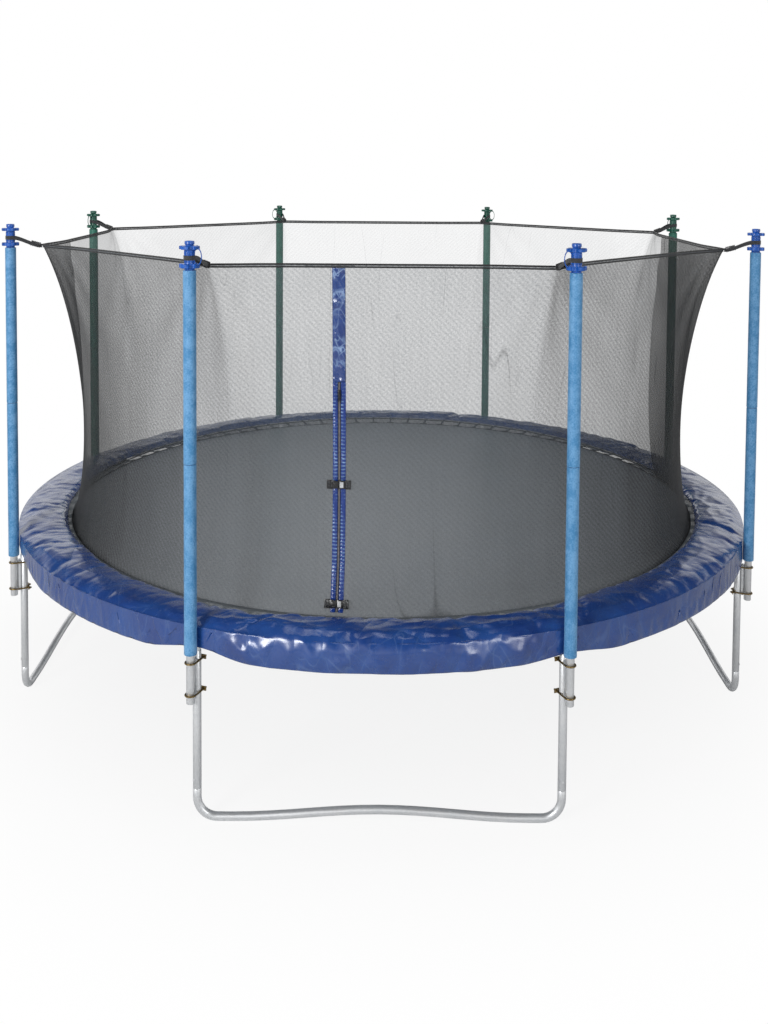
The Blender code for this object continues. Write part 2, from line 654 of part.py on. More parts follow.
def add_buckle(door, name, height):
    """A side-release buckle: the socket on the left tape, and the clip with its prong in the socket."""
    spot = door_place(height, BUCKLE_HEIGHT)
    half = BUCKLE_WIDTH / 2
    level = SEAT_GAP + CHAIN_THICKNESS + BUCKLE_LIFT + BUCKLE_DEPTH / 2
    socket = box((half, BUCKLE_HEIGHT, BUCKLE_DEPTH), (-half / 2, 0, level))
    tape = SEAT_GAP + TAPE_THICKNESS / 2
    foot_centre = (-(CHAIN_WIDTH + TAPE_WIDTH) / 4, 0, (level + tape) / 2)
    foot = box((*BUCKLE_FOOT, level - tape), foot_centre)
    inside = (BUCKLE_HEIGHT - 2 * BUCKLE_WALL, BUCKLE_DEPTH - 2 * BUCKLE_WALL)
    pocket = box((2 * POCKET_DEPTH, *inside), (0, 0, level))
    combine(door, "UNION", f"{name}_socket", socket, spot)
    combine(door, "UNION", f"{name}_socket_foot", foot, spot)
    combine(door, "DIFFERENCE", f"{name}_pocket", pocket, spot)
    width = half - BUCKLE_SPLIT
    body = box((width, BUCKLE_HEIGHT, BUCKLE_DEPTH), (BUCKLE_SPLIT + width / 2, 0, level))
    clip = place(f"{name}_buckle_clip", body, "black_plastic", spot)
    root = BUCKLE_SPLIT + width / 2
    prong = box((PRONG_LENGTH + root, *(size - 2 * FIT_GAP for size in inside)), ((root - PRONG_LENGTH) / 2, 0, level))
    combine(clip, "UNION", f"{name}_prong", prong, spot)


def add_slider():
    """The zip's slider with its pull tab, on the line that it slides along."""
    spot = door_place(RIM_HEIGHT + SLIDER_REST, SLIDER_TRAVEL)
    back = SEAT_GAP + CHAIN_THICKNESS + SLIDER_LIFT
    body = box(SLIDER_SIZE, (0, 0, back + SLIDER_SIZE[2] / 2))
    slider = place("zip_slider", body, "black_plastic", spot)
    pull = box(PULL_SIZE, (0, -PULL_SIZE[1] / 2, back + SLIDER_SIZE[2]))
    combine(slider, "UNION", "zip_pull", pull, spot)


def build_door():
    """The door's strip, its zip slider and the two buckles across it."""
    door = place("door_zip", door_mesh(), "door_tape")
    for name, rise in BUCKLE_PLACES.items():
        add_buckle(door, name, RIM_HEIGHT + rise)
    add_slider()


def main():
    for obj in list(bpy.data.objects):
        bpy.data.objects.remove(obj, do_unlink=True)
    build_rim()
    build_legs()
    build_poles()
    build_mat()
    build_springs()
    build_pad()
    build_net()
    build_door()


main()
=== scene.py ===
"""Looks of a round garden trampoline with an inner safety net on eight foam-covered poles.

Metres, +Z up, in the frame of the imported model. The door is at -Y, a little to the left of the middle.
"""

import logging
import math
from collections.abc import Callable, Iterable, Iterator, Sequence
from contextlib import contextmanager
from dataclasses import dataclass, field
from enum import Enum

import bmesh
import bpy
from mathutils import Matrix, Vector, noise

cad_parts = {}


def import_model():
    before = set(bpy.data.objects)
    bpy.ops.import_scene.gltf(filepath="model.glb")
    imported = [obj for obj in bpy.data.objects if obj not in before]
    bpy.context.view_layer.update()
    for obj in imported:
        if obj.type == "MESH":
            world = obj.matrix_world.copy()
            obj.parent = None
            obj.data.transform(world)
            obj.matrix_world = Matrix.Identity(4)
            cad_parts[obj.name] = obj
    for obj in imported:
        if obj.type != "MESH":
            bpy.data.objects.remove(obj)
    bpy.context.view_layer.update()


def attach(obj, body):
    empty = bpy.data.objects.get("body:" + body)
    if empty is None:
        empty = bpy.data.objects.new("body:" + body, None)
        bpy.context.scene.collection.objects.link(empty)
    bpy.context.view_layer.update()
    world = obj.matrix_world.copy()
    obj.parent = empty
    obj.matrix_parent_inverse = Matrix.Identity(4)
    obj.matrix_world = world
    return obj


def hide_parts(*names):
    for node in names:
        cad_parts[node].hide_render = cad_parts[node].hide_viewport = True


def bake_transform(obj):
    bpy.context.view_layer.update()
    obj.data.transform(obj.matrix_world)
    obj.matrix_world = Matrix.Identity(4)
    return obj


log = logging.getLogger("trampoline")

Object = bpy.types.Object
Socket = bpy.types.NodeSocket
Route = list[Vector]
Shade = tuple[float, float, float]

LEG_COUNT = 8
SECTOR = 2 * math.pi / LEG_COUNT
UP = Vector((0, 0, 1))
OUT = Vector((1, 0, 0))
LIP = 0.0015  # length of a tube's rounded mouth


class Colour(Enum):
    """The colours that the foam, caps and cover come in."""

    BLUE = "blue"
    GREEN = "green"


# ---------------------------------------------------------------- hand work


def radial(angle: float, radius: float = 1.0, height: float = 0.0) -> Vector:
    """The point at this angle, radius and height about the middle."""
    return Vector((radius * math.cos(angle), radius * math.sin(angle), height))


def leg_angle(index: int) -> float:
    """Where leg and pole number index stand."""
    return (index + 0.5) * SECTOR


def ease(value: float) -> float:
    """A smooth step from 0 to 1."""
    value = min(1.0, max(0.0, value))
    return value * value * (3 - 2 * value)


def along(knots: Sequence[tuple[float, float]], angle: float) -> float:
    """A smooth value between sizes that are given at some angles.

    Args:
        knots: Angles in degrees with their values, in order round the circle.
        angle: The angle about the middle, in radians.

    Returns:
        The value there.
    """
    turn = math.degrees(angle) % 360
    closed = [(knots[-1][0] - 360, knots[-1][1]), *knots, (knots[0][0] + 360, knots[0][1])]
    for (low, first), (high, second) in zip(closed, closed[1:]):
        if low <= turn <= high:
            return first + (second - first) * ease((turn - low) / (high - low))
    return knots[0][1]


def grain(x: float, y: float, seed: float) -> float:
    """Smooth noise between about -1 and 1."""
    return noise.noise(Vector((x, y, seed)))


def ridge(x: float, y: float, seed: float) -> float:
    """Noise with sharp crests, between 0 and 1."""
    return 1.0 - min(1.0, abs(grain(x, y, seed)) * 2.4)


def deselect() -> None:
    """Leaves nothing selected."""
    bpy.ops.object.select_all(action="DESELECT")


def choose(obj: Object) -> None:
    """Makes an object the only one selected, and the active one."""
    deselect()
    obj.select_set(True)
    bpy.context.view_layer.objects.active = obj


def link(obj: Object) -> Object:
    """Puts an object in the scene."""
    bpy.context.scene.collection.objects.link(obj)
    return obj


def take(name: str) -> Object:
    """The newly added object, under its own name."""
    obj = bpy.context.object
    obj.name = obj.data.name = name
    return obj


@contextmanager
def editing(obj: Object) -> Iterator[None]:
    """Edit mode on one object.

    Args:
        obj: The object to edit.

    Yields:
        Nothing; the mode ends with the block.
    """
    choose(obj)
    bpy.ops.object.mode_set(mode="EDIT")
    bpy.ops.mesh.select_mode(type="VERT")
    yield
    bpy.ops.object.mode_set(mode="OBJECT")


def pick(obj: Object, wanted: Callable[[Vector, Vector], bool]) -> None:
    """Selects faces in edit mode by their middle and normal.

    Args:
        obj: The object in edit mode.
        wanted: Says of a face's middle and normal if it is selected.
    """
    bpy.ops.mesh.select_mode(type="FACE")
    bpy.ops.mesh.select_all(action="DESELECT")
    bm = bmesh.from_edit_mesh(obj.data)
    for face in bm.faces:
        face.select_set(wanted(face.calc_center_median(), face.normal))
    bmesh.update_edit_mesh(obj.data)


def settle(obj: Object) -> Object:
    """Puts an object's place and turn into its mesh."""
    choose(obj)
    bpy.ops.object.transform_apply(location=True, rotation=True, scale=True)
    return obj


def refine(obj: Object, kind: str, **values: object) -> Object:
    """Adds a modifier and applies it.

    Args:
        obj: The object to work on.
        kind: The modifier's type.
        **values: Its settings.

    Returns:
        The same object.
    """
    choose(obj)
    bpy.ops.object.modifier_add(type=kind)
    modifier = obj.modifiers[-1]
    for key, value in values.items():
        setattr(modifier, key, value)
    bpy.ops.object.modifier_apply(modifier=modifier.name)
    return obj


def smooth(obj: Object, angle: float = 40.0) -> Object:
    """Shades smooth, with sharp edges past an angle in degrees."""
    choose(obj)
    bpy.ops.object.shade_smooth_by_angle(angle=math.radians(angle))
    return obj


def close_up(obj: Object) -> None:
    """Merges doubles, turns faces outward, and leaves edit mode."""
    with editing(obj):
        bpy.ops.mesh.select_all(action="SELECT")
        bpy.ops.mesh.remove_doubles(threshold=1e-5)
        bpy.ops.mesh.normals_make_consistent(inside=False)


def extrude(by: Vector) -> None:
    """Extrudes what is selected."""
    bpy.ops.mesh.extrude_region_move(TRANSFORM_OT_translate={"value": by})


def resize(factor: float, centre: Vector) -> None:
    """Sizes what is selected about a point."""
    bpy.ops.transform.resize(value=(factor,) * 3, center_override=centre)


def ring_at(name: str, centre: Vector, heading: Vector, radius: float, sides: int) -> Object:
    """A bare ring of points square to a heading, from which a piece is drawn out.

    Args:
        name: The piece's name.
        centre: The ring's middle.
        heading: The way that the piece goes on.
        radius: The ring's radius.
        sides: Its number of points.

    Returns:
        The new object, not yet settled.
    """
    deselect()
    turn = heading.to_track_quat("Z", "Y").to_euler()
    bpy.ops.mesh.primitive_circle_add(vertices=sides, radius=radius, location=centre, rotation=turn)
    return take(name)


def turned(name: str, profile: Sequence[tuple[float, float]], sides: int, centre: Vector | None = None) -> Object:
    """A piece turned about an upright axis: a ring that is drawn up and sized step by step.

    Args:
        name: The piece's name.
        profile: Radius and height of each step, from the first ring to the last.
        sides: Points in a ring.
        centre: A point on the axis.

    Returns:
        The finished object with both ends closed.
    """
    base = centre or Vector()
    radius, height = profile[0]
    obj = ring_at(name, base + UP * height, UP, radius, sides)
    with editing(obj):
        bpy.ops.mesh.select_all(action="SELECT")
        bpy.ops.mesh.edge_face_add()
        for next_radius, next_height in profile[1:]:
            extrude(UP * (next_height - height))
            if abs(next_radius - radius) > 1e-7:
                resize(next_radius / radius, base + UP * next_height)
            radius, height = next_radius, next_height
    settle(obj)
    close_up(obj)
    return obj


@dataclass(frozen=True)
class Straight:
    """A straight run of a tube or rod."""

    by: Vector
    radius: float | None = None  # what the tube narrows or widens to


@dataclass(frozen=True)
class Bend:
    """A bend of a tube or rod about an axis."""

    centre: Vector
    axis: Vector
    angle: float
    steps: int


def drawn(
    name: str, start: Vector, heading: Vector, radius: float, moves: Iterable[Straight | Bend], sides: int = 20
) -> Object:
    """A bent tube or rod, drawn out from a ring by straight runs and bends.

    Args:
        name: The piece's name.
        start: Where its axis starts.
        heading: The way that it leaves.
        radius: Its radius at the start.
        moves: The runs and bends in order.
        sides: Points in a ring.

    Returns:
        The open-ended object, settled.
    """
    obj = ring_at(name, start, heading, radius, sides)
    here, size = start.copy(), radius
    with editing(obj):
        bpy.ops.mesh.select_all(action="SELECT")
        for move in moves:
            if isinstance(move, Straight):
                extrude(move.by)
                here = here + move.by
                if move.radius is not None:
                    resize(move.radius / size, here)
                    size = move.radius
            else:
                bpy.ops.mesh.spin(
                    steps=move.steps, dupli=False, angle=move.angle, center=move.centre, axis=move.axis
                )
                turn = Matrix.Rotation(-move.angle, 3, move.axis)
                here = move.centre + turn @ (here - move.centre)
    settle(obj)
    close_up(obj)
    return obj


def cap_ends(obj: Object) -> None:
    """Closes the open ends of a rod."""
    with editing(obj):
        bpy.ops.mesh.select_mode(type="EDGE")
        bpy.ops.mesh.select_all(action="DESELECT")
        bpy.ops.mesh.select_non_manifold()
        bpy.ops.mesh.fill_holes(sides=0)
        bpy.ops.mesh.select_all(action="SELECT")
        bpy.ops.mesh.normals_make_consistent(inside=False)


def block(name: str, centre: Vector, axes: Matrix, size: Sequence[float], bevel: float = 0.0) -> Object:
    """A bevelled block.

    Args:
        name: The piece's name.
        centre: Its middle.
        axes: Its own axes, as a turn.
        size: Its size along them.
        bevel: The width of its rounded edges.

    Returns:
        The settled object.
    """
    deselect()
    bpy.ops.mesh.primitive_cube_add(size=1.0, location=centre, rotation=axes.to_euler())
    obj = take(name)
    obj.scale = size
    settle(obj)
    if bevel:
        with editing(obj):
            bpy.ops.mesh.select_all(action="SELECT")
            bpy.ops.mesh.bevel(offset=bevel, segments=2, affect="EDGES")
    return obj


def joined(name: str, parts: Sequence[Object]) -> Object:
    """Several objects as one piece."""
    deselect()
    for part in parts:
        part.select_set(True)
    bpy.context.view_layer.objects.active = parts[0]
    bpy.ops.object.join()
    return take(name)


def moved_copy(obj: Object, name: str, matrix: Matrix) -> Object:
    """A copy with its own mesh, moved in its mesh."""
    copy = obj.copy()
    copy.data = obj.data.copy()
    copy.name = copy.data.name = name
    copy.data.transform(matrix)
    return link(copy)


def remove(obj: Object) -> None:
    """Takes a pattern piece out of the scene."""
    bpy.data.objects.remove(obj, do_unlink=True)


def cut(obj: Object, cutter: Object) -> None:
    """Takes a cutter's shape out of a piece, and the cutter out of the scene."""
    refine(obj, "BOOLEAN", operation="DIFFERENCE", solver="EXACT", object=cutter)
    remove(cutter)


def sheet_mesh(
    name: str,
    columns: int,
    rows: int,
    point: Callable[[int, int], Vector],
    wrap: bool = False,
    unwrap: Callable[[int, int], tuple[float, float]] | None = None,
) -> Object:
    """Fabric as a grid of quads with its own UV map in metres.

    Args:
        name: The piece's name.
        columns: Steps across.
        rows: Steps up.
        point: The place of a grid point, by column and row.
        wrap: If the last column joins the first.
        unwrap: The fabric's own coordinates of a grid point.

    Returns:
        The new object.
    """
    count = columns if wrap else columns + 1
    vertices = [point(c, r) for r in range(rows + 1) for c in range(count)]
    faces, uvs = [], []
    for r in range(rows):
        for c in range(columns):
            corners = ((c, r), (c + 1, r), (c + 1, r + 1), (c, r + 1))
            faces.append([row * count + column % count for column, row in corners])
            uvs += [unwrap(*corner) if unwrap else corner for corner in corners]
    mesh = bpy.data.meshes.new(name)
    mesh.from_pydata(vertices, [], faces)
    layer = mesh.uv_layers.new(name="Fabric")
    layer.data.foreach_set("uv", [value for uv in uvs for value in uv])
    mesh.shade_smooth()
    return link(bpy.data.objects.new(name, mesh))


def ribbon(name: str, route: Route, across: Sequence[Vector], width: float, thickness: float) -> Object:
    """A flat strap along a route, with its own UV map in metres along and across.

    Args:
        name: The piece's name.
        route: The middle of the strap.
        across: The way of its width at each point.
        width: Its width.
        thickness: Its thickness.

    Returns:
        The new object.
    """
    lengths = [0.0]
    for before, after in zip(route, route[1:]):
        lengths.append(lengths[-1] + (after - before).length)
    corners = [(-0.5, -0.5), (0.5, -0.5), (0.5, 0.5), (-0.5, 0.5)]

    def point(column: int, row: int) -> Vector:
        ahead = route[min(row + 1, len(route) - 1)] - route[max(row - 1, 0)]
        side = across[row]
        face = side.cross(ahead).normalized()
        x, z = corners[column % 4]
        return route[row] + side * (x * width) + face * (z * thickness)

    reach = [0.0, width, width + thickness, 2 * width + thickness, 2 * (width + thickness)]
    obj = sheet_mesh(name, 4, len(route) - 1, point, True, lambda c, r: (reach[c], lengths[r]))
    cap_ends(obj)
    return smooth(obj, 50)


def ride(obj: Object, body: str, *nodes: str, slot: str | None = None) -> Object:
    """Puts a piece on its body, and hides the solids that it stands for.

    Args:
        obj: The finished piece.
        body: The body that it moves with.
        *nodes: The solids that it replaces.
        slot: Not used.

    Returns:
        The same piece.
    """
    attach(obj, body)
    if nodes:
        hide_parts(*nodes)
    return obj


def around(pattern: Object, name: str, node: str, count: int = LEG_COUNT) -> None:
    """Puts copies of a steel tube round the frame, and takes the pattern away.

    Args:
        pattern: The tube at its first place.
        name: The copies' name, before their number.
        node: The solids' name, before their number.
        count: How many there are.
    """
    for index in range(count):
        copy = moved_copy(pattern, f"{name}_{index + 1}", Matrix.Rotation(index * 2 * math.pi / count, 4, "Z"))
        ride(copy, "frame", f"{node}_{index + 1}", slot="galvanised")
    remove(pattern)


# ---------------------------------------------------------------- finishes


class Nodes:
    """Builds the nodes of one material or of the world."""

    def __init__(self, owner: bpy.types.Material | bpy.types.World) -> None:
        """Empties the owner's tree."""
        owner.use_nodes = True
        self.tree = owner.node_tree
        self.tree.nodes.clear()

    def add(self, kind: str, **values: object) -> bpy.types.Node:
        """Adds a node.

        Args:
            kind: The node's type, without its prefix.
            **values: Its properties, or its inputs' values with spaces as underscores.

        Returns:
            The new node.
        """
        node = self.tree.nodes.new("ShaderNode" + kind)
        for key, value in values.items():
            if hasattr(node, key):
                setattr(node, key, value)
            else:
                node.inputs[key.replace("_", " ")].default_value = value
        return node

    def join(self, output: Socket, target: Socket) -> None:
        """Links two sockets."""
        self.tree.links.new(output, target)

    def math(self, operation: str, *values: Socket | float) -> Socket:
        """Arithmetic on sockets and numbers."""
        node = self.add("Math", operation=operation)
        for slot, value in zip(node.inputs, values):
            if isinstance(value, (int, float)):
                slot.default_value = value
            else:
                self.join(value, slot)
        return node.outputs[0]

    def remap(self, value: Socket, low: float, high: float, to_low: float, to_high: float) -> Socket:
        """A value taken from one span to another, held within it."""
        node = self.add("MapRange", clamp=True)
        for slot, number in zip(list(node.inputs)[1:5], (low, high, to_low, to_high)):
            slot.default_value = number
        self.join(value, node.inputs[0])
        return node.outputs[0]


class Graph(Nodes):
    """Builds the nodes of one material with a Principled shader."""

    def __init__(self, name: str) -> None:
        """Starts an empty material with one Principled shader."""
        self.material = bpy.data.materials.new(name)
        super().__init__(self.material)
        self.shader = self.add("BsdfPrincipled")
        output = self.add("OutputMaterial")
        self.join(self.shader.outputs[0], output.inputs["Surface"])

    def set(self, **values: object) -> None:
        """Sets the shader's own sockets."""
        for key, value in values.items():
            self.shader.inputs[key.replace("_", " ")].default_value = value

    def place(self, stretch: Sequence[float] = (1, 1, 1), by_fabric: bool = False) -> Socket:
        """Coordinates for a pattern.

        Args:
            stretch: The scale along each axis.
            by_fabric: If they follow the piece's own UV map rather than its place.

        Returns:
            The vector socket.
        """
        source = self.add("TexCoord")
        mapping = self.add("Mapping")
        mapping.inputs["Scale"].default_value = stretch
        self.join(source.outputs["UV" if by_fabric else "Object"], mapping.inputs["Vector"])
        return mapping.outputs[0]

    def noise(self, place: Socket, scale: float, detail: float = 3.0, roughness: float = 0.55) -> Socket:
        """A noise pattern."""
        node = self.add("TexNoise", Scale=scale, Detail=detail, Roughness=roughness)
        self.join(place, node.inputs["Vector"])
        return node.outputs["Fac"]

    def wave(self, place: Socket, scale: float, direction: str = "X", distortion: float = 0.0) -> Socket:
        """Even bands along one axis."""
        node = self.add("TexWave", wave_type="BANDS", bands_direction=direction, wave_profile="SIN")
        node.inputs["Scale"].default_value = scale
        node.inputs["Distortion"].default_value = distortion
        self.join(place, node.inputs["Vector"])
        return node.outputs["Fac"]

    def blend(self, factor: Socket, first: Sequence[float], second: Sequence[float]) -> Socket:
        """A colour between two."""
        node = self.add("Mix", data_type="RGBA")
        self.join(factor, node.inputs[0])
        node.inputs[6].default_value = (*first, 1.0)
        node.inputs[7].default_value = (*second, 1.0)
        return node.outputs[2]

    def colour(self, socket: Socket) -> None:
        """Feeds the shader's colour."""
        self.join(socket, self.shader.inputs["Base Color"])

    def rough(self, socket: Socket) -> None:
        """Feeds the shader's roughness."""
        self.join(socket, self.shader.inputs["Roughness"])

    def bump(self, height: Socket, distance: float, strength: float = 1.0, under: Socket | None = None) -> Socket:
        """Relief in metres, on top of another if one is given."""
        node = self.add("Bump", Strength=strength, Distance=distance)
        self.join(height, node.inputs["Height"])
        if under is not None:
            self.join(under, node.inputs["Normal"])
        self.join(node.outputs[0], self.shader.inputs["Normal"])
        return node.outputs[0]


@dataclass(frozen=True)
class Finish:
    """A finish that can be put on pieces."""

    name: str

    def make(self) -> bpy.types.Material:
        """Builds the material. Each finish has its own."""
        raise NotImplementedError

    def on(self, obj: Object) -> Object:
        """Puts the finish on a piece, building it the first time."""
        material = bpy.data.materials.get(self.name) or self.make()
        obj.data.materials.clear()
        obj.data.materials.append(material)
        return obj


@dataclass(frozen=True)
class Galvanised(Finish):
    """Bright zinc-coated steel tube with a faint spangle and soft patches."""

    bright: Shade = (0.88, 0.89, 0.90)
    dull: Shade = (0.74, 0.76, 0.78)

    def make(self) -> bpy.types.Material:
        """Builds the material."""
        g = Graph(self.name)
        place = g.place()
        spangle = g.add("TexVoronoi", Scale=70.0)
        g.join(place, spangle.inputs["Vector"])
        patch = g.noise(place, 9.0, 4.0)
        mixed = g.math("ADD", g.math("MULTIPLY", spangle.outputs["Distance"], 0.25), patch)
        g.colour(g.blend(g.remap(mixed, 0.35, 0.85, 0, 1), self.bright, self.dull))
        g.rough(g.remap(patch, 0.3, 0.7, 0.30, 0.44))
        g.set(Metallic=0.72, Specular_IOR_Level=0.5)
        g.bump(g.noise(place, 220.0, 2.0), 0.0004, 0.25)
        return g.material


@dataclass(frozen=True)
class YellowZinc(Finish):
    """Yellow-passivated zinc on bolts, nuts and saddles."""

    def make(self) -> bpy.types.Material:
        """Builds the material."""
        g = Graph(self.name)
        place = g.place()
        tint = g.noise(place, 60.0, 3.0)
        g.colour(g.blend(g.remap(tint, 0.3, 0.7, 0, 1), (0.33, 0.23, 0.09), (0.16, 0.12, 0.07)))
        g.rough(g.remap(tint, 0.3, 0.7, 0.28, 0.45))
        g.set(Metallic=1.0)
        g.bump(g.noise(place, 500.0, 2.0), 0.0002, 0.3)
        return g.material


@dataclass(frozen=True)
class SpringWire(Finish):
    """Zinc-plated spring wire, with its coils as relief and painted shade in the grooves between the turns."""

    def make(self) -> bpy.types.Material:
        """Builds the material."""
        g = Graph(self.name)
        place = g.place(by_fabric=True)
        coils = g.wave(place, 90.0, "Y")
        # painted shade: dark bands in the grooves between the coil turns
        g.colour(g.blend(coils, (0.16, 0.165, 0.17), (0.66, 0.67, 0.68)))
        g.set(Metallic=0.9, Roughness=0.35)
        g.bump(coils, 0.0015)
        return g.material


@dataclass(frozen=True)
class PoleFoam(Finish):
    """Foam tube in a thin satin film, its deep blue mottled with patches of a paler blue as a painted highlight."""

    deep: Shade = (0.055, 0.235, 0.480)
    pale: Shade = (0.165, 0.385, 0.660)

    def make(self) -> bpy.types.Material:
        """Builds the material."""
        g = Graph(self.name)
        place = g.place()
        grain = g.noise(place, 130.0, 3.0, 0.7)
        cloud = g.noise(place, 22.0, 3.0)
        mixed = g.math("ADD", g.math("MULTIPLY", grain, 0.6), g.math("MULTIPLY", cloud, 0.4))
        # painted highlight: the pale blue is the lit foam's colour, mottled in over the deep blue
        g.colour(g.blend(g.remap(mixed, 0.42, 0.58, 0, 1), self.deep, self.pale))
        g.rough(g.remap(cloud, 0.3, 0.7, 0.42, 0.58))
        g.set(Specular_IOR_Level=0.45, Sheen_Weight=0.15, Sheen_Roughness=0.4)
        under = g.bump(cloud, 0.004, 0.35)
        g.bump(grain, 0.0012, 0.5, under)
        return g.material


@dataclass(frozen=True)
class MouldedPlastic(Finish):
    """Glossy moulded plastic with a soft mould texture."""

    base: Shade = (0.010, 0.085, 0.360)
    gloss: float = 0.22

    def make(self) -> bpy.types.Material:
        """Builds the material."""
        g = Graph(self.name)
        place = g.place()
        cloud = g.noise(place, 45.0, 3.0)
        lighter = tuple(min(1.0, value * 1.45 + 0.004) for value in self.base)
        g.colour(g.blend(g.remap(cloud, 0.35, 0.65, 0, 1), self.base, lighter))
        g.rough(g.remap(cloud, 0.3, 0.7, self.gloss, self.gloss + 0.12))
        g.set(Specular_IOR_Level=0.55)
        g.bump(g.noise(place, 380.0, 2.0), 0.0003, 0.25)
        return g.material


@dataclass(frozen=True)
class GlossVinyl(Finish):
    """Glossy PVC sheet with fine creases, and pale painted highlight lines along some of them."""

    base: Shade = (0.006, 0.036, 0.195)
    # a lighter blue, taken in the hollows of the folds
    hollow_blue: Shade = (0.012, 0.066, 0.275)
    crease: float = 0.016
    line: float = 0.012  # how wide the painted highlight lines along the creases are
    crease_highlight: float = 0.12  # how strongly the painted highlights show
    scale: float = 1.0  # of the creases

    def slanted(self, g: Graph, fabric: Socket, along_u: float, along_v: float) -> Socket:
        """The place on the sheet in slanted axes.

        Args:
            g: The material that it is added to.
            fabric: The place on the sheet.
            along_u: How fast the first axis runs along the sheet.
            along_v: How fast it runs across the sheet.

        Returns:
            The slanted place.
        """
        parts, whole = g.add("SeparateXYZ"), g.add("CombineXYZ")
        g.join(fabric, parts.inputs[0])
        u, v = parts.outputs["X"], parts.outputs["Y"]
        g.join(g.math("ADD", g.math("MULTIPLY", u, along_u), g.math("MULTIPLY", v, along_v)), whole.inputs[0])
        g.join(g.math("SUBTRACT", g.math("MULTIPLY", v, 3.4), g.math("MULTIPLY", u, 0.6)), whole.inputs[1])
        return whole.outputs[0]

    def make(self) -> bpy.types.Material:
        """Builds the material."""
        g = Graph(self.name)
        fabric = g.place((1.0, 1.0, 1.0), True)
        fine = g.noise(fabric, 26.0, 4.0, 0.5)
        relief, edge = None, None
        for along_u, along_v, scale in ((6.0, 3.2, 0.6), (5.0, -3.8, 0.6), (7.0, 1.5, 1.3)):
            slow = g.noise(self.slanted(g, fabric, along_u, along_v), scale * self.scale, 1.5, 0.5)
            off = g.math("MULTIPLY", g.math("ABSOLUTE", g.math("SUBTRACT", slow, 0.5)), 1.4 / scale)
            relief = off if relief is None else g.math("ADD", relief, off)
            edge = off if edge is None else g.math("MINIMUM", edge, off)
        # lighter blue in the hollows of the folds, the base blue on their crests
        tint = g.blend(g.remap(relief, 0.1, 0.9, 0, 1), self.hollow_blue, self.base)
        # painted highlight: pale lines along the crease contours, in patches, in the colour set below
        where = g.noise(g.place((1.6, 5.0, 1.0), True), 1.9, 2.0, 0.5)
        crease_highlight = g.remap(where, 0.46, 0.62, 0.0, self.crease_highlight)
        crease_highlight = g.math("MULTIPLY", g.remap(edge, 0.0, self.line, 1.0, 0.0), crease_highlight)
        mix = g.add("Mix", data_type="RGBA")
        g.join(crease_highlight, mix.inputs[0])
        g.join(tint, mix.inputs[6])
        mix.inputs[7].default_value = (0.30, 0.44, 0.68, 1.0)
        g.colour(mix.outputs[2])
        g.rough(g.remap(fine, 0.3, 0.7, 0.22, 0.30))
        g.set(Specular_IOR_Level=0.6, IOR=1.55, Coat_Weight=0.5, Coat_Roughness=0.18, Coat_IOR=1.5)
        under = g.bump(relief, self.crease, 0.9)
        g.bump(fine, 0.0005, 0.4, under)
        return g.material


@dataclass(frozen=True)
class PuckeredVinyl(Finish):
    """Glossy tape drawn up by its stitches, with painted pale highlights on its rungs, in patches."""

    base: Shade = (0.007, 0.036, 0.220)
    # the painted highlight's colour
    pale: Shade = (0.300, 0.480, 0.760)

    def make(self) -> bpy.types.Material:
        """Builds the material."""
        g = Graph(self.name)
        place = g.place(by_fabric=True)
        rungs = g.wave(place, 19.0, "Y", 1.6)
        patch = g.noise(g.place((26.0, 4.2, 1.0), True), 1.0, 3.0, 0.6)
        # painted highlight: the pale colour on the rungs' crests, in patches
        rung_glint = g.math("MULTIPLY", g.remap(rungs, 0.50, 0.90, 0, 1), g.remap(patch, 0.44, 0.66, 0, 1))
        g.colour(g.blend(rung_glint, self.base, self.pale))
        g.set(Roughness=0.2, Specular_IOR_Level=0.5, Coat_Weight=0.2, Coat_Roughness=0.1)
        g.bump(rungs, 0.0015)
        return g.material


@dataclass(frozen=True)
class WovenMat(Finish):
    """Black woven mat with a satin shine and fine crinkles, coloured mid grey as a painted sheen."""

    def make(self) -> bpy.types.Material:
        """Builds the material."""
        g = Graph(self.name)
        place = g.place()
        grit = g.noise(place, 150.0, 2.0, 0.7)
        crinkle = g.noise(place, 24.0, 4.0, 0.6)
        cloud = g.noise(place, 2.2, 4.0)
        mixed = g.math("ADD", g.math("MULTIPLY", grit, 0.45), g.math("MULTIPLY", crinkle, 0.30))
        mixed = g.math("ADD", mixed, g.math("MULTIPLY", cloud, 0.25))
        # painted sheen: the black mat is coloured mid grey for the glare on it
        g.colour(g.blend(g.remap(mixed, 0.38, 0.62, 0, 1), (0.135, 0.156, 0.182), (0.235, 0.268, 0.310)))
        g.rough(g.remap(cloud, 0.3, 0.7, 0.42, 0.50))
        g.set(Specular_IOR_Level=1.0, IOR=1.65, Coat_Weight=1.0, Coat_Roughness=0.42, Coat_IOR=1.8)
        g.bump(crinkle, 0.0020, 0.5, g.bump(grit, 0.0006, 0.5))
        return g.material


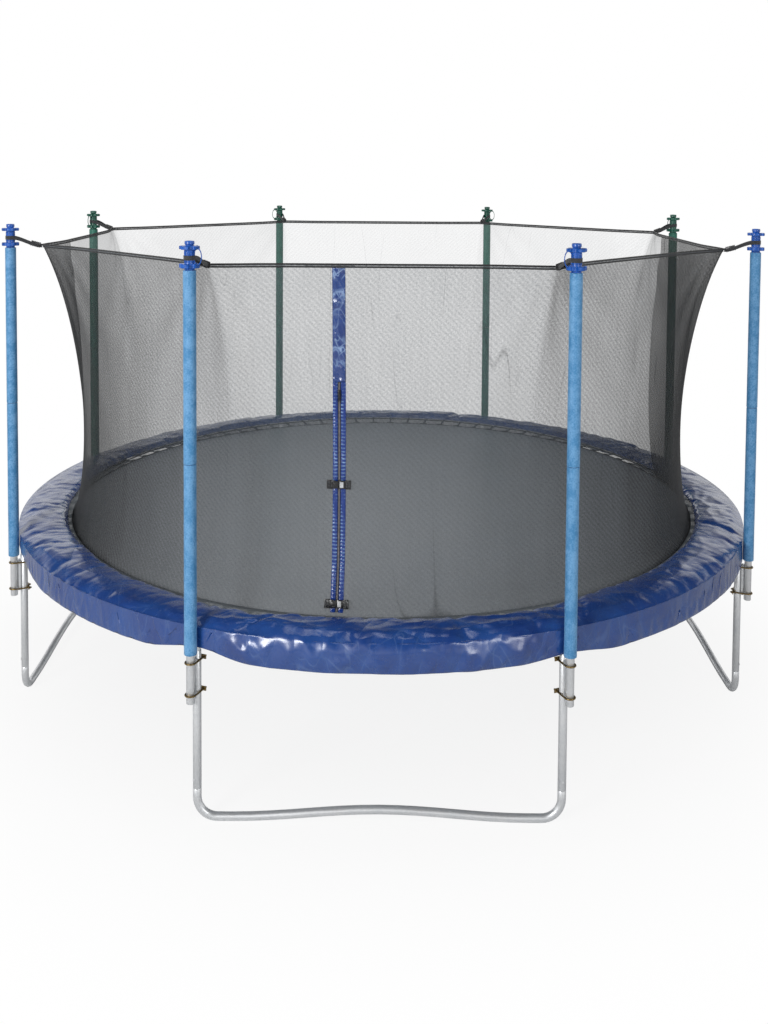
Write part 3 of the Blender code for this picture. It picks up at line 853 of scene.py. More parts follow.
@dataclass(frozen=True)
class NetMesh(Finish):
    """Fine black knitted mesh that is seen through, closer woven at its seams, with painted light on its threads:
    paler face on, and painted shade edge on, toward the top and along pulled lines.
    """

    cover: float = 0.41  # the share that the threads cover, seen face on
    grazing: float = 0.93  # the same, seen edge on
    thread: Shade = (0.115, 0.134, 0.152)
    edge_on_shade: float = 0.08  # painted shade: the share of the thread's colour that is left, seen edge on
    foot_gain: float = 0.08  # what the cover gains toward the foot
    fade: float = 0.42  # how far from face on the painted light on the threads fades out
    top_light: float = 0.75  # painted shade toward the top: the share of the foot's painted light that the threads keep at the top
    contrast: float = 1.0  # of the weave

    def make(self) -> bpy.types.Material:
        """Builds the material."""
        g = Graph(self.name)
        fabric = g.place((1, 1, 1), True)
        streak = g.noise(g.place((34.0, 1.6, 1), True), 1.4, 3.0, 0.6)
        cloud = g.noise(fabric, 1.6, 3.0, 0.5)
        fine = g.noise(fabric, 125.0, 2.0, 0.65)
        weave = g.wave(fabric, 21.0, "DIAGONAL", 1.2)
        facing = g.add("LayerWeight", Blend=0.38).outputs["Facing"]
        solid = g.remap(facing, 0.05, 0.85, self.cover, self.grazing)
        solid = g.math("ADD", solid, g.remap(facing, 0.70, 0.92, 0.0, 0.12))
        level = g.add("SeparateXYZ")
        g.join(fabric, level.inputs[0])
        solid = g.math("ADD", solid, g.remap(level.outputs["Y"], 0.0, 0.8, self.foot_gain, 0.0))
        change = g.math("MULTIPLY", g.math("SUBTRACT", streak, 0.5), 0.12)
        for part, share in ((fine, 0.75), (cloud, 0.16), (weave, 0.10)):
            change = g.math("ADD", change, g.math("MULTIPLY", g.math("SUBTRACT", part, 0.5), share))
        crease = self.creases(g)
        change = g.math("ADD", g.math("MULTIPLY", change, self.contrast), g.math("MULTIPLY", crease, 0.20))
        cover = g.math("ADD", solid, change)
        held = g.remap(cover, 0.0, 1.0, 0.0, 1.0)
        g.join(held, g.shader.inputs["Alpha"])
        # painted light on the threads: full colour face on, fading to painted shade edge on
        painted_light = g.math("MULTIPLY", g.remap(facing, 0.03, self.fade, 1.0, 0.0), g.remap(fine, 0.3, 0.7, 0.78, 1.22))
        # painted shade along the pulled lines
        painted_light = g.math("MULTIPLY", painted_light, g.remap(crease, 0.0, 1.0, 1.0, 0.35))
        painted_light = g.math("MULTIPLY", painted_light, g.remap(level.outputs["Y"], 0.0, 0.9, 1.0, self.top_light))
        g.colour(g.blend(painted_light, tuple(value * self.edge_on_shade for value in self.thread), self.thread))
        g.set(Roughness=0.6, Specular_IOR_Level=0.3)
        g.bump(g.math("ADD", streak, g.math("MULTIPLY", fine, 0.15)), 0.004, 0.35)
        return g.material

    def creases(self, g: Graph) -> Socket:
        """Thin pulled lines here and there, along the contours of slow noise.

        Args:
            g: The material that they are added to.

        Returns:
            1 on a line, 0 away from it.
        """
        slow = g.noise(g.place((3.0, 0.40, 1), True), 1.0, 1.0, 0.5)
        off = g.math("ABSOLUTE", g.math("SUBTRACT", slow, 0.5))
        where = g.noise(g.place((1.3, 1.0, 1), True), 1.7, 2.0, 0.5)
        return g.math("MULTIPLY", g.remap(off, 0.0, 0.0035, 1.0, 0.0), g.remap(where, 0.50, 0.60, 0.0, 1.0))


@dataclass(frozen=True)
class Webbing(Finish):
    """Ribbed woven strap."""

    base: Shade = (0.022, 0.023, 0.025)

    def make(self) -> bpy.types.Material:
        """Builds the material."""
        g = Graph(self.name)
        place = g.place(by_fabric=True)
        ribs = g.wave(place, 160.0, "Y")
        edge = g.wave(place, 110.0, "X")
        weave = g.math("MULTIPLY", ribs, g.math("ADD", g.math("MULTIPLY", edge, 0.5), 0.5))
        lighter = tuple(value * 2.6 for value in self.base)
        g.colour(g.blend(weave, self.base, lighter))
        g.set(Roughness=0.62, Specular_IOR_Level=0.4, Sheen_Weight=0.2)
        g.bump(weave, 0.0007)
        return g.material


@dataclass(frozen=True)
class WovenBacking(Finish):
    """The white cloth on the back of the vinyl."""

    base: Shade = (0.86, 0.86, 0.87)

    def make(self) -> bpy.types.Material:
        """Builds the material."""
        g = Graph(self.name)
        cloud = g.noise(g.place(), 40.0, 3.0)
        g.colour(g.blend(g.remap(cloud, 0.3, 0.7, 0, 1), self.base, (0.74, 0.75, 0.76)))
        g.set(Roughness=0.7)
        g.bump(g.noise(g.place(), 300.0, 2.0), 0.0003, 0.4)
        return g.material


@dataclass(frozen=True)
class ToothHighlightPaint(Finish):
    """Pinkish grey on the zip's teeth: a painted highlight along the middle of the zip."""

    # the painted highlight's colour
    base: Shade = (0.30, 0.27, 0.28)

    def make(self) -> bpy.types.Material:
        """Builds the material."""
        g = Graph(self.name)
        cloud = g.noise(g.place(), 90.0, 2.0)
        g.colour(g.blend(g.remap(cloud, 0.3, 0.7, 0, 1), self.base, (0.14, 0.13, 0.135)))
        g.set(Roughness=0.35, Specular_IOR_Level=0.5)
        return g.material


GALVANISED = Galvanised("Galvanised")
YELLOW_ZINC = YellowZinc("YellowZinc")
SPRING_WIRE = SpringWire("SpringWire")
FOAM = {
    Colour.BLUE: PoleFoam("BlueFoam"),
    Colour.GREEN: PoleFoam("GreenFoam", (0.022, 0.150, 0.105), (0.050, 0.225, 0.165)),
}
CAP = {
    Colour.BLUE: MouldedPlastic("BlueCap", (0.008, 0.080, 0.360)),
    Colour.GREEN: MouldedPlastic("GreenCap", (0.010, 0.090, 0.060)),
}
BLACK_PLASTIC = MouldedPlastic("BlackPlastic", (0.010, 0.010, 0.011), 0.20)
# painted highlight lines along the creases: faint on the pad, strong on the door strip
VINYL = GlossVinyl("BlueVinyl")
STRIP_VINYL = GlossVinyl("DoorVinyl", (0.005, 0.030, 0.170), (0.010, 0.048, 0.220), 0.006, 0.050, 0.90, 3.2)
TAPE_VINYL = PuckeredVinyl("PuckeredVinyl")
BACKING = WovenBacking("VinylBacking")
MAT_WEAVE = WovenMat("MatWeave")
NET_MESH = NetMesh("NetMesh")
# the rear panels' net: pale threads as painted light on the rear net's inside, with a thinner cover
REAR_MESH_PAINTED_LIGHT = NetMesh("RearNetMeshPaintedLight", 0.14, 0.55, (0.36, 0.39, 0.41), 0.3, 0.0, 0.9, 1.0, 0.40)
HEM_MESH = NetMesh("HemMesh", 0.80, 0.96, (0.10, 0.11, 0.12), 0.5, 0.0, 0.9, 1.0)
FOOT_MESH = NetMesh("FootMesh", 0.90, 0.97, (0.19, 0.215, 0.24), 0.9, 0.0, 0.9, 1.0)
WEBBING = Webbing("Webbing")
CORD = Webbing("HemCord", (0.010, 0.010, 0.011))
# pale grey for the painted highlight on the buckle clip
CLIP_HIGHLIGHT_PAINT = MouldedPlastic("PaintedClipHighlight", (0.42, 0.43, 0.44), 0.30)
TEETH = ToothHighlightPaint("ZipTeeth")


# ---------------------------------------------------------------- sub-assemblies


@dataclass
class SteelFrame:
    """The galvanised tubes: rim, uprights, bases and enclosure poles."""

    tube: float = 0.019
    wall: float = 0.0016
    rim_radius: float = 2.116
    rim_height: float = 0.870
    leg_top: float = 0.775
    base_height: float = 0.149
    bend: float = 0.090
    foot: float = 0.080
    rise: float = 0.035
    floor: float = 0.0176
    pole_radius: float = 2.168
    pole_low: float = 0.556
    pole_high: float = 2.4595
    mouth: float = 0.0012  # how far a tube's end is rounded in
    swage: float = 0.0166  # radius of a tube's narrowed end
    overlap: float = 0.045  # how far it reaches into the next tube
    screw_heights: tuple[float, float] = (0.700, 0.190)

    def finish(self, obj: Object) -> Object:
        """Gives a drawn tube its wall, its shading and its zinc."""
        refine(obj, "SOLIDIFY", thickness=self.wall, offset=-1.0)
        return GALVANISED.on(smooth(obj))

    def rails(self) -> None:
        """The eight curved rails of the rim, each with the stub of a leg."""
        gap = 0.0004 / self.rim_radius
        start = radial(-SECTOR / 2 + gap, self.rim_radius, self.rim_height)
        ahead = radial(-SECTOR / 2 + math.pi / 2)
        lip = self.tube - self.mouth
        moves = [
            Straight(ahead * LIP, self.tube),
            Bend(UP * self.rim_height, UP, -(SECTOR - 2 * gap - 2 * LIP / self.rim_radius), 24),
        ]
        rail = drawn("rail", start, ahead, lip, moves)
        end = radial(SECTOR / 2 - gap, self.rim_radius, self.rim_height)
        tip_heading = radial(SECTOR / 2 + math.pi / 2)
        swage = drawn(
            "swage", end - tip_heading * 0.004, tip_heading, self.swage, [Straight(tip_heading * self.overlap)], 20
        )
        curve = joined("rail", [rail, swage])
        self.finish(curve)
        stub_top = self.rim_height - self.tube + 0.002
        stub = drawn(
            "stub",
            radial(SECTOR / 2, self.rim_radius, self.leg_top - self.overlap),
            UP,
            self.swage + 0.0001,
            [Straight(UP * (self.overlap + 0.0005)), Straight(UP * (stub_top - self.leg_top))],
        )
        weld = turned(
            "weld",
            [(0.0170, 0.0), (0.0205, 0.006), (0.0195, 0.014), (0.0172, 0.018)],
            20,
            radial(SECTOR / 2, self.rim_radius, stub_top - 0.020),
        )
        GALVANISED.on(weld)
        stub = joined("stub", [self.finish(stub), weld])
        for index in range(LEG_COUNT):
            turn = Matrix.Rotation(leg_angle(index), 4, "Z")
            leg = moved_copy(stub, f"leg_stub_{index + 1}", Matrix.Rotation(leg_angle(index) - SECTOR / 2, 4, "Z"))
            obj = moved_copy(curve, f"top_rail_tube_{index + 1}", turn)
            ride(obj, "frame", f"top_rail_{index + 1}", slot="galvanised")
            ride(leg, "frame", slot="galvanised")
        remove(curve)
        remove(stub)

    def uprights(self) -> None:
        """The eight leg uprights, each with its lock screw."""
        foot = radial(SECTOR / 2, self.rim_radius, self.base_height + 0.0003)
        lip = self.tube - self.mouth
        run = self.leg_top - self.base_height - 0.0033
        moves = [Straight(UP * LIP, self.tube), Straight(UP * run), Straight(UP * LIP, lip)]
        upright = self.finish(drawn("upright", foot, UP, lip, moves, 24))
        screws = []
        for height in self.screw_heights:
            screw = turned("screw", [(0.0045, 0.0), (0.0062, 0.0008), (0.0058, 0.0024), (0.0030, 0.0034)], 12)
            out = radial(SECTOR / 2 - 0.35)
            spot = Vector((foot.x, foot.y, height)) + out * (self.tube - 0.0004)
            turn = out.to_track_quat("Z", "Y").to_matrix().to_4x4()
            screw.data.transform(Matrix.Translation(spot) @ turn)
            screws.append(GALVANISED.on(smooth(screw)))
        upright = joined("upright", [upright, *screws])
        around(upright, "leg_upright_tube", "leg_upright")

    def bases(self) -> None:
        """The four bases: two bends each, and a floor tube that rises in its middle."""
        across = self.rim_radius * math.cos(SECTOR / 2)
        half = self.rim_radius * math.sin(SECTOR / 2)
        side = Vector((0, 1, 0))
        top = self.base_height - 0.0003
        centre_low = Vector((across, -half + self.bend, self.floor + self.bend))
        centre_high = Vector((across, half - self.bend, self.floor + self.bend))
        flat = self.foot - 0.02
        span = 2 * (half - self.bend - flat)
        moves: list[Straight | Bend] = [
            Straight(-UP * LIP, self.tube),
            Straight(-UP * (top - LIP - self.floor - self.bend)),
            Bend(centre_low, OUT, -math.pi / 2, 10),
            Straight(side * flat),
        ]
        steps, height = 16, 0.0
        for i in range(1, steps + 1):
            share = i / steps
            next_height = self.rise * (1 - math.cos(2 * math.pi * share)) / 2
            moves.append(Straight(side * (span / steps) + UP * (next_height - height)))
            height = next_height
        moves += [
            Straight(side * flat),
            Bend(centre_high, OUT, -math.pi / 2, 10),
            Straight(UP * (top - LIP - self.floor - self.bend)),
            Straight(UP * LIP, self.tube - self.mouth),
        ]
        start = Vector((across, -half, top))
        base = self.finish(drawn("base", start, -UP, self.tube - self.mouth, moves, 24))
        around(base, "leg_base_tube", "leg_base", LEG_COUNT // 2)

    def poles(self) -> None:
        """The eight enclosure poles."""
        foot = radial(SECTOR / 2, self.pole_radius, self.pole_low)
        lip = self.tube - self.mouth
        moves = [Straight(UP * 0.002, self.tube), Straight(UP * (self.pole_high - self.pole_low - 0.002))]
        pole = self.finish(drawn("pole", foot, UP, lip, moves, 24))
        around(pole, "pole_tube", "pole")

    def build(self) -> None:
        """Builds and dresses every tube."""
        self.rails()
        self.uprights()
        self.bases()
        self.poles()
        log.info("steel frame: rails, stubs, uprights, bases and poles")


@dataclass
class PoleFittings:
    """What each enclosure pole carries: clamp, foam sleeve and cap."""

    pole_radius: float = 2.168
    rim_radius: float = 2.116
    tube: float = 0.019
    rod: float = 0.004
    rod_heights: tuple[float, float] = (0.594, 0.738)
    foam_inner: float = 0.0193
    foam_outer: float = 0.0284
    foam_low: float = 0.776
    foam_split: float = 1.617
    foam_high: float = 2.4597
    pole_top: float = 2.460
    cap_flange: float = 0.0445
    loop_sides: dict[int, int] = field(
        default_factory=lambda: {0: 1, 1: -1, 2: 1, 3: 1, 4: -1, 5: 1, 6: -1, 7: 1}
    )  # which side of each cap its loop hangs on, seen from outside

    def colour(self, index: int) -> Colour:
        """The front four poles are blue, the rear four green."""
        return Colour.GREEN if index < LEG_COUNT // 2 else Colour.BLUE

    def spot(self, index: int) -> Matrix:
        """The place of a pole, with X outward."""
        angle = leg_angle(index)
        return Matrix.Translation(radial(angle, self.pole_radius)) @ Matrix.Rotation(angle, 4, "Z")

    def clamps(self) -> None:
        """Two U-bolts round each pole and leg, with saddle, nuts and spacer."""
        offset = self.pole_radius - self.rim_radius
        side = self.tube + self.rod + 0.0003
        plate = -(offset + self.tube + 0.0028)
        parts = []
        for height in self.rod_heights:
            tail = Vector((plate - 0.0145, side, height))
            legs = OUT * (0.0145 - plate)
            moves = [Straight(legs), Bend(UP * height, UP, math.pi, 12), Straight(-legs)]
            rod = drawn("rod", tail, OUT, self.rod, moves, 10)
            cap_ends(rod)
            parts.append(smooth(rod))
            saddle = block("saddle", Vector((plate, 0, height)), Matrix.Identity(3), (0.005, 0.066, 0.020), 0.0012)
            parts.append(smooth(saddle))
            for turn in (-1, 1):
                nut = turned("nut", [(0.0062, 0), (0.0072, 0.0008), (0.0072, 0.0052), (0.0062, 0.006)], 6)
                nut.data.transform(Matrix.Rotation(-math.pi / 2, 4, "Y"))
                nut.data.transform(Matrix.Translation((plate - 0.0026, side * turn, height)))
                parts.append(smooth(nut, 25))
        for part in parts:
            YELLOW_ZINC.on(part)
        bolts = joined("bolts", parts)
        spacer = self.spacer(offset)
        for index in range(LEG_COUNT):
            obj = moved_copy(bolts, f"clamp_bolts_{index + 1}", self.spot(index))
            ride(obj, "frame", f"pole_clamp_{index + 1}", slot="zinc")
            obj = moved_copy(spacer, f"clamp_spacer_{index + 1}", self.spot(index))
            ride(obj, "frame", slot="zinc")
        remove(bolts)
        remove(spacer)

    def spacer(self, offset: float) -> Object:
        """The hollow-sided block between a pole and its leg."""
        low, high = self.rod_heights
        spacer = block(
            "spacer",
            Vector((-offset / 2, 0, (low + high) / 2)),
            Matrix.Identity(3),
            (offset - 2 * self.tube - 0.0008, 0.036, high - low + 0.020),
            0.0015,
        )
        with editing(spacer):
            pick(spacer, lambda middle, normal: abs(normal.y) > 0.9)
            bpy.ops.mesh.inset(thickness=0.003, depth=-0.004)
        return GALVANISED.on(smooth(spacer))

    def foam(self, name: str, low: float, high: float, shrink: float) -> Object:
        """One length of foam tube with soft, rolled ends.

        Args:
            name: The piece's name.
            low: Its lower end.
            high: Its upper end.
            shrink: How much thinner its upper end is.

        Returns:
            The pattern piece on the Z axis.
        """
        steps, outer, inner = 36, self.foam_outer, self.foam_inner
        profile = [(inner, low + 0.004), (inner, low + 0.001), (inner + 0.002, low), (outer - 0.003, low)]
        profile += [(outer - 0.0008, low + 0.001), (outer, low + 0.004)]
        for i in range(1, steps):
            height = low + 0.004 + (high - low - 0.008) * i / steps
            wobble = 0.0004 * grain(0.3, low * 7, height * 9)
            profile.append((outer - shrink * i / steps - abs(wobble), height))
        profile += [(outer - shrink, high - 0.004), (outer - shrink - 0.0008, high - 0.001)]
        profile += [(outer - shrink - 0.003, high), (inner + 0.002, high), (inner, high - 0.001)]
        return smooth(turned(name, profile, 28), 60)

    def sleeves(self) -> None:
        """Two lengths of foam on each pole."""
        lengths = (
            ("lower", self.foam("foam_low", self.foam_low, self.foam_split, 0.0006)),
            ("upper", self.foam("foam_high", self.foam_split + 0.0016, self.foam_high, 0.0)),
        )
        for index in range(LEG_COUNT):
            for name, pattern in lengths:
                obj = moved_copy(pattern, f"pole_foam_{name}_{index + 1}", self.spot(index))
                FOAM[self.colour(index)].on(obj)
                slot = f"{self.colour(index).value}_foam"
                ride(obj, "frame", f"pole_sleeve_{index + 1}", slot=slot)
        for _, pattern in lengths:
            remove(pattern)

    def cap(self) -> Object:
        """A spool cap: collar, two lobed flanges, neck and knob, about the Z axis from 0 up."""
        parts = []
        spool = turned(
            "spool",
            [
                (0.0168, -0.030), (0.0170, -0.0005), (0.0220, 0.0005), (0.0225, 0.0085), (0.0238, 0.010),
                (0.0238, 0.027), (0.0228, 0.029), (0.0226, 0.034), (0.0226, 0.084), (0.0228, 0.088),
                (0.0238, 0.090), (0.0238, 0.104), (0.0190, 0.106), (0.0180, 0.109), (0.0212, 0.112),
                (0.0214, 0.122), (0.0196, 0.1255), (0.0120, 0.126), (0.0105, 0.1225), (0.0010, 0.1222),
            ],
            32,
        )
        parts.append(spool)
        for low, high in ((0.0095, 0.0275), (0.0895, 0.1045)):
            flange = turned(
                "flange",
                [
                    (self.cap_flange - 0.0022, low), (self.cap_flange, low + 0.0018),
                    (self.cap_flange, high - 0.0022), (self.cap_flange - 0.0022, high),
                ],
                64,
            )
            for lobe in range(4):
                angle = math.pi / 4 + lobe * math.pi / 2
                cutter = turned("cutter", [(0.0160, low - 0.01), (0.0160, high + 0.01)], 24, radial(angle, 0.0455))
                cut(flange, cutter)
            parts.append(flange)
        for i in range(12):
            angle = 2 * math.pi * i / 12
            turn = Matrix.Rotation(angle, 3, "Z")
            parts.append(block("rib", radial(angle, 0.0231, 0.0585), turn, (0.0012, 0.0016, 0.050), 0.0003))
        return smooth(joined("cap", parts), 35)

    def cap_loop(self, side: int) -> Object:
        """The thin moulded loop between the flanges, on one side."""
        deselect()
        bpy.ops.mesh.primitive_torus_add(
            major_radius=0.0275, minor_radius=0.0026, major_segments=32, minor_segments=8,
            location=(0.0, side * 0.0405, 0.0585), rotation=(0, math.pi / 2, 0),
        )
        loop = take("loop")
        settle(loop)
        with editing(loop):
            bpy.ops.mesh.select_all(action="SELECT")
            bpy.ops.transform.resize(value=(1.0, 0.70, 1.26), center_override=(0.0, side * 0.0405, 0.0585))
        return smooth(loop, 60)

    def caps(self) -> None:
        """A cap with its loop on every pole."""
        cap = self.cap()
        loops = {side: self.cap_loop(side) for side in (-1, 1)}
        for index in range(LEG_COUNT):
            lift = self.spot(index) @ Matrix.Translation(UP * self.pole_top)
            colour = self.colour(index)
            obj = moved_copy(cap, f"cap_{index + 1}", lift)
            CAP[colour].on(obj)
            ride(obj, "frame", f"pole_cap_{index + 1}", slot=f"{colour.value}_plastic")
            loop = moved_copy(loops[self.loop_sides[index]], f"cap_loop_{index + 1}", lift)
            CAP[colour].on(loop)
            ride(loop, "frame", slot=f"{colour.value}_plastic")
        remove(cap)
        for loop in loops.values():
            remove(loop)

    def build(self) -> None:
        """Builds and dresses every fitting."""
        self.clamps()
        self.sleeves()
        self.caps()
        log.info("pole fittings: clamps, foam sleeves and caps")


@dataclass
class JumpingBed:
    """The mat with its edge band, V-rings, their tabs and the springs."""

    radius: float = 1.840
    height: float = 0.870
    thickness: float = 0.004
    band_in: float = 1.8403
    band_out: float = 1.8523
    spring_count: int = 88
    eye: float = 1.8873
    rim_inner: float = 2.098
    group: int = 4  # springs in one piece
    wire: float = 0.0022
    coil: float = 0.0072

    def mat(self) -> None:
        """The woven mat."""
        deselect()
        bpy.ops.mesh.primitive_circle_add(
            vertices=176, radius=self.radius - 0.0005, location=(0, 0, self.height - self.thickness / 2 + 0.0002),
            fill_type="NGON",
        )
        mat = take("mat_sheet")
        with editing(mat):
            bpy.ops.mesh.select_all(action="SELECT")
            extrude(UP * (self.thickness - 0.0004))
            bpy.ops.mesh.inset(thickness=0.030, depth=0.0)
            bpy.ops.mesh.inset(thickness=0.002, depth=-0.0006)
        settle(mat)
        close_up(mat)
        MAT_WEAVE.on(smooth(mat))
        ride(mat, "mat", "jumping_mat", slot="mat_fabric")

    def band(self) -> None:
        """The folded webbing at the mat's edge."""
        low, high = self.height - 0.004, self.height + 0.004
        band = self.band_ring("mat_edge_band", self.band_in, self.band_out, low, high)
        WEBBING.on(band)
        ride(band, "mat", slot="mat_fabric")

    def band_ring(self, name: str, inner: float, outer: float, low: float, high: float) -> Object:
        """A soft flat ring of webbing, by its section.

        Args:
            name: The piece's name.
            inner: Its inner radius.
            outer: Its outer radius.
            low: Its lower level.
            high: Its upper level.

        Returns:
            The new ring.
        """
        soft = min(outer - inner, high - low) * 0.25
        section = [
            (inner, low + soft), (inner, high - soft), (inner + soft, high), (outer - soft, high),
            (outer, high - soft), (outer, low + soft), (outer - soft, low), (inner + soft, low),
        ]
        reach = [0.0]
        for before, after in zip(section, section[1:] + section[:1]):
            reach.append(reach[-1] + math.dist(before, after))
        columns = 176

        def point(column: int, row: int) -> Vector:
            radius, height = section[row % len(section)]
            return radial(2 * math.pi * column / columns, radius, height)

        step = 2 * math.pi * outer / columns
        ring = sheet_mesh(name, columns, len(section), point, True, lambda c, r: (reach[r], c * step))
        close_up(ring)
        return ring

    def ring(self) -> Object:
        """One V-ring at angle 0: bent wire from the band to the spring's eye."""
        start = Vector((self.band_out - 0.004, -0.017, self.height))
        end = Vector((start.x, 0.017, self.height))
        tip = Vector((self.eye - 0.006, 0.0, self.height))
        half = Vector((0, 0.003, 0))
        moves = [
            Straight(tip - half - start), Straight(Vector((0.0035, 0.003, 0))),
            Straight(Vector((-0.0035, 0.003, 0))), Straight(end - tip - half), Straight(start - end),
        ]
        return smooth(drawn("v_ring", start, (tip - start).normalized(), self.wire, moves, 6), 60)

    def spring(self) -> Object:
        """One spring at angle 0: barrel of coils with a thin straight end on each side."""
        start = Vector((self.eye - 0.012, 0, self.height))
        wire, coil = self.wire, self.coil
        run = self.rim_inner - start.x - 0.040
        steps = ((0.010, wire), (0.006, coil), (run, coil), (0.006, wire), (0.018, wire))
        spring = drawn("spring", start, OUT, wire, [Straight(OUT * reach, size) for reach, size in steps], 10)
        cap_ends(spring)
        mesh = spring.data
        layer = mesh.uv_layers.new(name="Fabric")
        for loop in mesh.loops:
            place = mesh.vertices[loop.vertex_index].co
            layer.data[loop.index].uv = (math.atan2(place.z - self.height, place.y) * 0.01, place.x)
        return SPRING_WIRE.on(smooth(spring, 60))

    def angles(self) -> list[float]:
        """Where the springs stand."""
        return [(i + 0.5) * 2 * math.pi / self.spring_count for i in range(self.spring_count)]

    def tabs(self) -> None:
        """The webbing tabs that hold the V-rings."""
        reach, half = 0.020, 0.030

        def point(column: int, row: int) -> Vector:
            side = half * (1 - 0.35 * row / 2) * (column / 2 - 1)
            return Vector((self.band_out - 0.002 + reach * row / 2, side, self.height + 0.0016))

        tab = sheet_mesh("tab", 4, 2, point, False, lambda c, r: (r * reach / 2, c * half / 2))
        refine(tab, "SOLIDIFY", thickness=0.0032, offset=-1.0)
        WEBBING.on(tab)
        turns = [Matrix.Rotation(angle, 4, "Z") for angle in self.angles()]
        ride(joined("ring_tabs", [moved_copy(tab, "tab_one", turn) for turn in turns]), "mat", slot="mat_fabric")
        remove(tab)

    def springs(self) -> None:
        """The V-rings on the mat, and the springs in groups that stretch between mat and rim."""
        ring, spring = self.ring(), self.spring()
        GALVANISED.on(ring)
        places = self.angles()
        rings = [moved_copy(ring, "v_ring_one", Matrix.Rotation(angle, 4, "Z")) for angle in places]
        ride(joined("mat_rings", rings), "mat", slot="spring_steel")
        for first in range(0, self.spring_count, self.group):
            angles = places[first : first + self.group]
            copies = [moved_copy(spring, "spring_one", Matrix.Rotation(angle, 4, "Z")) for angle in angles]
            obj = joined(f"springs_{first // self.group + 1:02d}", copies)
            middle = radial(sum(angles) / len(angles))
            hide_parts("spring_set")
            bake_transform(obj)
        remove(ring)
        remove(spring)

    def build(self) -> None:
        """Builds and dresses the bed, from the mat outward."""
        self.mat()
        self.band()
        self.tabs()
        self.springs()
        log.info("jumping bed: mat, band, V-rings and springs")


